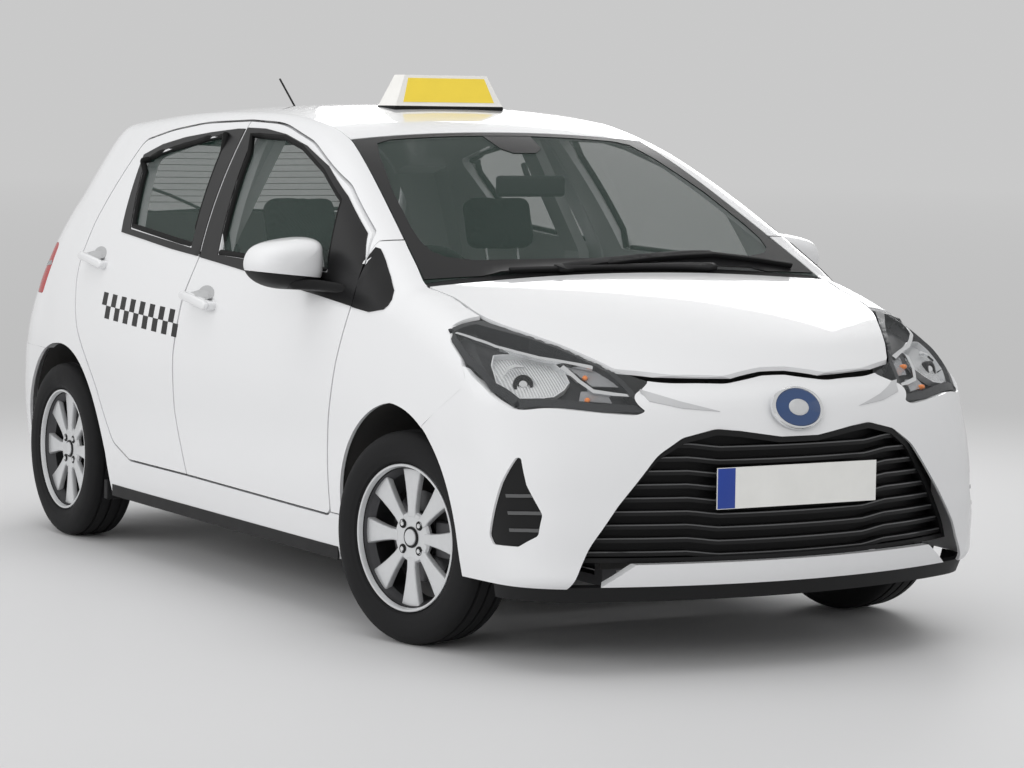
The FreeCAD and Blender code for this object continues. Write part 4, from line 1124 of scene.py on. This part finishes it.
wiper("wiper_arm_long", [(1.068, -0.25), (1.05, -0.15), (1.022, 0.06), (0.998, 0.24),
                         (0.99, 0.33)], [0.03, 0.026, 0.018, 0.014, 0.012])
wiper("wiper_blade_long", [(1.05, -0.07), (1.025, 0.1), (0.998, 0.33), (1.012, 0.48),
                           (1.026, 0.6)], 0.013)
wiper("wiper_arm_short", [(1.066, 0.3), (1.064, 0.2), (1.066, 0.08), (1.068, -0.06)],
      [0.028, 0.022, 0.016, 0.012])
wiper("wiper_blade_short", [(1.066, 0.25), (1.068, 0.06), (1.066, -0.2), (1.055, -0.4)],
      0.012)
print("windscreen is dressed")


# seats: padded cloth on dark rails
padding = {"pressure": 4, "frames": 20, "swell": 0.01, "quickCell": 0.03}


def padded(name, low, high, edge, cell=0.008, shape=None, tilt=None):
    pad = block(low, high, edge, 4)
    if shape:
        modify(pad, "SUBSURF", levels=3, render_levels=3, subdivision_type="SIMPLE")
        for point in pad.data.vertices:
            point.co = shape(point.co.copy())
    if tilt:
        turned(pad, math.radians(tilt[0]), "Y", tilt[1])
    modify(pad, "REMESH", mode="VOXEL", voxel_size=cell)
    before = [point.co.copy() for point in pad.data.vertices]
    alone(pad)
    bpy.ops.object.modifier_add(type="CLOTH")
    swell = pad.modifiers[-1].settings
    swell.use_pressure = True
    swell.uniform_pressure_force = padding["pressure"]
    swell.effector_weights.gravity = 0
    for frameNumber in range(1, padding["frames"] + 1):
        bpy.context.scene.frame_set(frameNumber)
    bpy.ops.object.modifier_apply(modifier=pad.modifiers[-1].name)
    bpy.context.scene.frame_set(1)
    for point, start in zip(pad.data.vertices, before):
        way = point.co - start
        point.co = start + way * min(1.0, padding["swell"] / max(way.length, 1e-9))
    modify(pad, "SUBSURF", levels=1, render_levels=1)
    settle(pad, name, "cloth", "root", 60)


seat = {
    "y": 0.37,
    "edge": 0.04,
    "hip": (-0.15, 0.0, 0.41),
    "lean": 17,
    "benchHip": (-0.9, 0.0, 0.438),
    "benchLean": 22,
}


def sunkBetween(middle, half, depth, axis, level):
    # bolsters stay along both sides while the face between them sinks
    def move(co):
        share = min(1.0, abs(co.y - middle) / half)
        if co[axis] > level:
            co[axis] -= depth * max(0.0, 1 - share ** 4)
        return co
    return move


for hand, side in handed.items():
    y = side * seat["y"]
    hip = (seat["hip"][0], y, seat["hip"][2])
    padded("seat_cushion_" + hand, (-0.15, y - 0.242, 0.343), (0.36, y + 0.242, 0.462),
           seat["edge"], shape=sunkBetween(y, 0.2, 0.022, 2, 0.42))
    x, z = hip[0], hip[2]
    padded("seat_back_" + hand, (x - 0.05, y - 0.232, z - 0.005),
           (x + 0.052, y + 0.232, z + 0.592), seat["edge"],
           shape=sunkBetween(y, 0.19, 0.024, 0, x + 0.02), tilt=(seat["lean"], hip))
    padded("head_rest_" + hand, (x - 0.042, y - 0.122, z + 0.648),
           (x + 0.042, y + 0.122, z + 0.82), 0.034, 0.006, tilt=(seat["lean"], hip))
    posts = [tube([(x, at, z + 0.56), (x, at, z + 0.69)], 0.006) for at in (y - 0.06, y + 0.06)]
    rails = [block((-0.12, at - 0.014, 0.242), (0.3, at + 0.014, 0.352))
             for at in (y - 0.19, y + 0.19)]
    stays = turned(joined(*posts), math.radians(seat["lean"]), "Y", hip)
    settle(stays, "rest_posts_" + hand, "chrome")
    settle(joined(*rails), "seat_rails_" + hand, "darkMetal")
bench = seat["benchHip"]
padded("bench_cushion", (-0.93, -0.562, 0.338), (-0.47, 0.562, 0.467), seat["edge"], 0.01)
x, z = bench[0], bench[2]
padded("bench_back", (x - 0.045, -0.552, z - 0.01), (x + 0.045, 0.552, z + 0.512), 0.036, 0.01,
       tilt=(seat["benchLean"], bench))
for i, y in enumerate((-0.34, 0.0, 0.34)):
    padded(f"bench_rest_{i + 1}", (x - 0.032, y - 0.102, z + 0.518),
           (x + 0.032, y + 0.102, z + 0.632), 0.026, 0.006, tilt=(seat["benchLean"], bench))
standsFor("seat_cushion_right", "front_seats")
standsFor("bench_cushion", "rear_bench")
print("seats are padded")


# dashboard details: instrument hood, shelf, centre stack and vents
hood = slab([(0.548, -0.52, 0.935), (0.548, -0.22, 0.935), (0.64, -0.2, 0.93),
             (0.76, -0.26, 0.93), (0.76, -0.48, 0.93), (0.64, -0.54, 0.93)],
            (0, 0, 0.062))
settle(softened(hood, 0.026, 5), "instrument_hood", "trim")
shelf = slab([(0.54, 0.13, 0.94), (0.54, 0.52, 0.94), (0.7, 0.54, 0.935),
              (0.8, 0.42, 0.93), (0.8, 0.2, 0.93), (0.7, 0.11, 0.935)],
             (0, 0, 0.03))
settle(softened(shelf, 0.014, 4), "passenger_shelf", "trim")
settle(block((0.455, -0.13, 0.7), (0.48, 0.13, 0.925), 0.01), "centre_stack", "gloss")
for i, y in enumerate((-0.6, -0.075, 0.075, 0.6)):
    vent = block((0.458, y - 0.055, 0.84), (0.474, y + 0.055, 0.905), 0.006)
    for j in range(4):
        height = 0.85 + 0.012 * j
        opening = block((0.45, y - 0.046, height), (0.466, y + 0.046, height + 0.007), 0.001, 1)
        cutBy(vent, opening)
    settle(vent, f"air_vent_{i + 1}", "trim")
print("dashboard is dressed")


# tail: glass border, heating lines, handle, painted shade for the plate recess, lower bumper, lamp
# bands and wiper
tail = {
    "glassEdge": [(-0.52, 1.12), (-0.3, 1.095), (0.0, 1.085), (0.3, 1.095), (0.52, 1.12),
                  (0.505, 1.25), (0.47, 1.352), (0.25, 1.372), (0.0, 1.378), (-0.25, 1.372),
                  (-0.47, 1.352), (-0.505, 1.25)],
    "borderWidth": 0.034,
    "heatingLines": 9,
    "grip": [(-0.33, 0.845), (-0.3, 0.868), (0.3, 0.868), (0.33, 0.845), (0.3, 0.832),
             (-0.3, 0.832)],
    "recess": [(-0.29, 0.655), (-0.3, 0.82), (0.3, 0.82), (0.29, 0.655)],
    "valance": [(-0.56, 0.235), (-0.52, 0.33), (-0.3, 0.372), (0.3, 0.372), (0.52, 0.33),
                (0.56, 0.235)],
    "reflector": [(-0.7, 0.4), (-0.56, 0.412), (-0.56, 0.436), (-0.7, 0.428)],
    "lampBand": [(-1.762, 0.91), (-1.56, 0.93), (-1.56, 0.945), (-1.762, 0.926)],
    "wiper": [(-1.846, 0.0, 1.075), (-1.832, -0.06, 1.112), (-1.8, -0.2, 1.165),
              (-1.768, -0.3, 1.195)],
}
settle(fitted(tail["glassEdge"], "rear", "tailgate_glass", 0.0012, 0.001,
              hole=grown(tail["glassEdge"], -tail["borderWidth"])),
       "tail_glass_border", "gloss", "tailgate")
for i in range(tail["heatingLines"]):
    height = 1.145 + 0.023 * i
    reach = 0.478 - 0.012 * i * 0.4
    line = ribbon([(-reach, height), (0.0, height - 0.006), (reach, height)], 0.0018)
    settle(fitted(line, "rear", "tailgate_glass", 0.0006, 0.0002, 0.06),
           f"heating_line_{i + 1}", "heater", "tailgate")
settle(fitted(tail["grip"], "rear", "tailgate", 0.01, 0.002),
       "tailgate_grip", "greyPaint", "tailgate")
# a grey sheet on the tailgate, painted shade standing for the plate recess
settle(fitted(tail["recess"], "rear", "tailgate", 0.0012, 0.002, 0.04),
       "plate_recess_shade", "paintedShade", "tailgate")
settle(fitted(tail["valance"], "rear", "rear_bumper", 0.003, 0.002, 0.04),
       "rear_valance", "plastic")
bothSides(fitted(tail["reflector"], "rear", "rear_bumper", 0.0025, 0.002, 0.02),
          "rear_reflector", "red")
bothSides(fitted(tail["lampBand"], "side", "tail_lamps", 0.0012, 0.002, 0.02),
          "tail_lamp_band", "cell")
settle(tube(tail["wiper"], 0.006), "rear_wiper", "plastic", "tailgate")
wiperHub = spunAt([(0.0, 0.022), (0.014, 0.02), (0.017, 0.012), (0.017, -0.006), (0.0, -0.006)],
                  (-1.836, 0.0, 1.072), (-0.86, 0, 0.5), 24)
settle(wiperHub, "rear_wiper_hub", "plastic", "tailgate")
print("tail is dressed")


# below the doors: a black strip over the sill's lower edge, painted shade that stands for the dark
# underside, and deflectors ahead of the rear wheels
sillShade = [(-0.885, 0.188), (0.8, 0.188), (0.8, 0.226), (-0.885, 0.226)]
bothSides(fitted(sillShade, "side", "side_frames", 0.0015, step=0.06), "sill_shade_strip", "plastic")
deflector = block((-0.985, -0.8, 0.165), (-0.955, -0.62, 0.232))
bothSides(deflector, "arch_deflector", "plastic")
print("small parts are fitted")
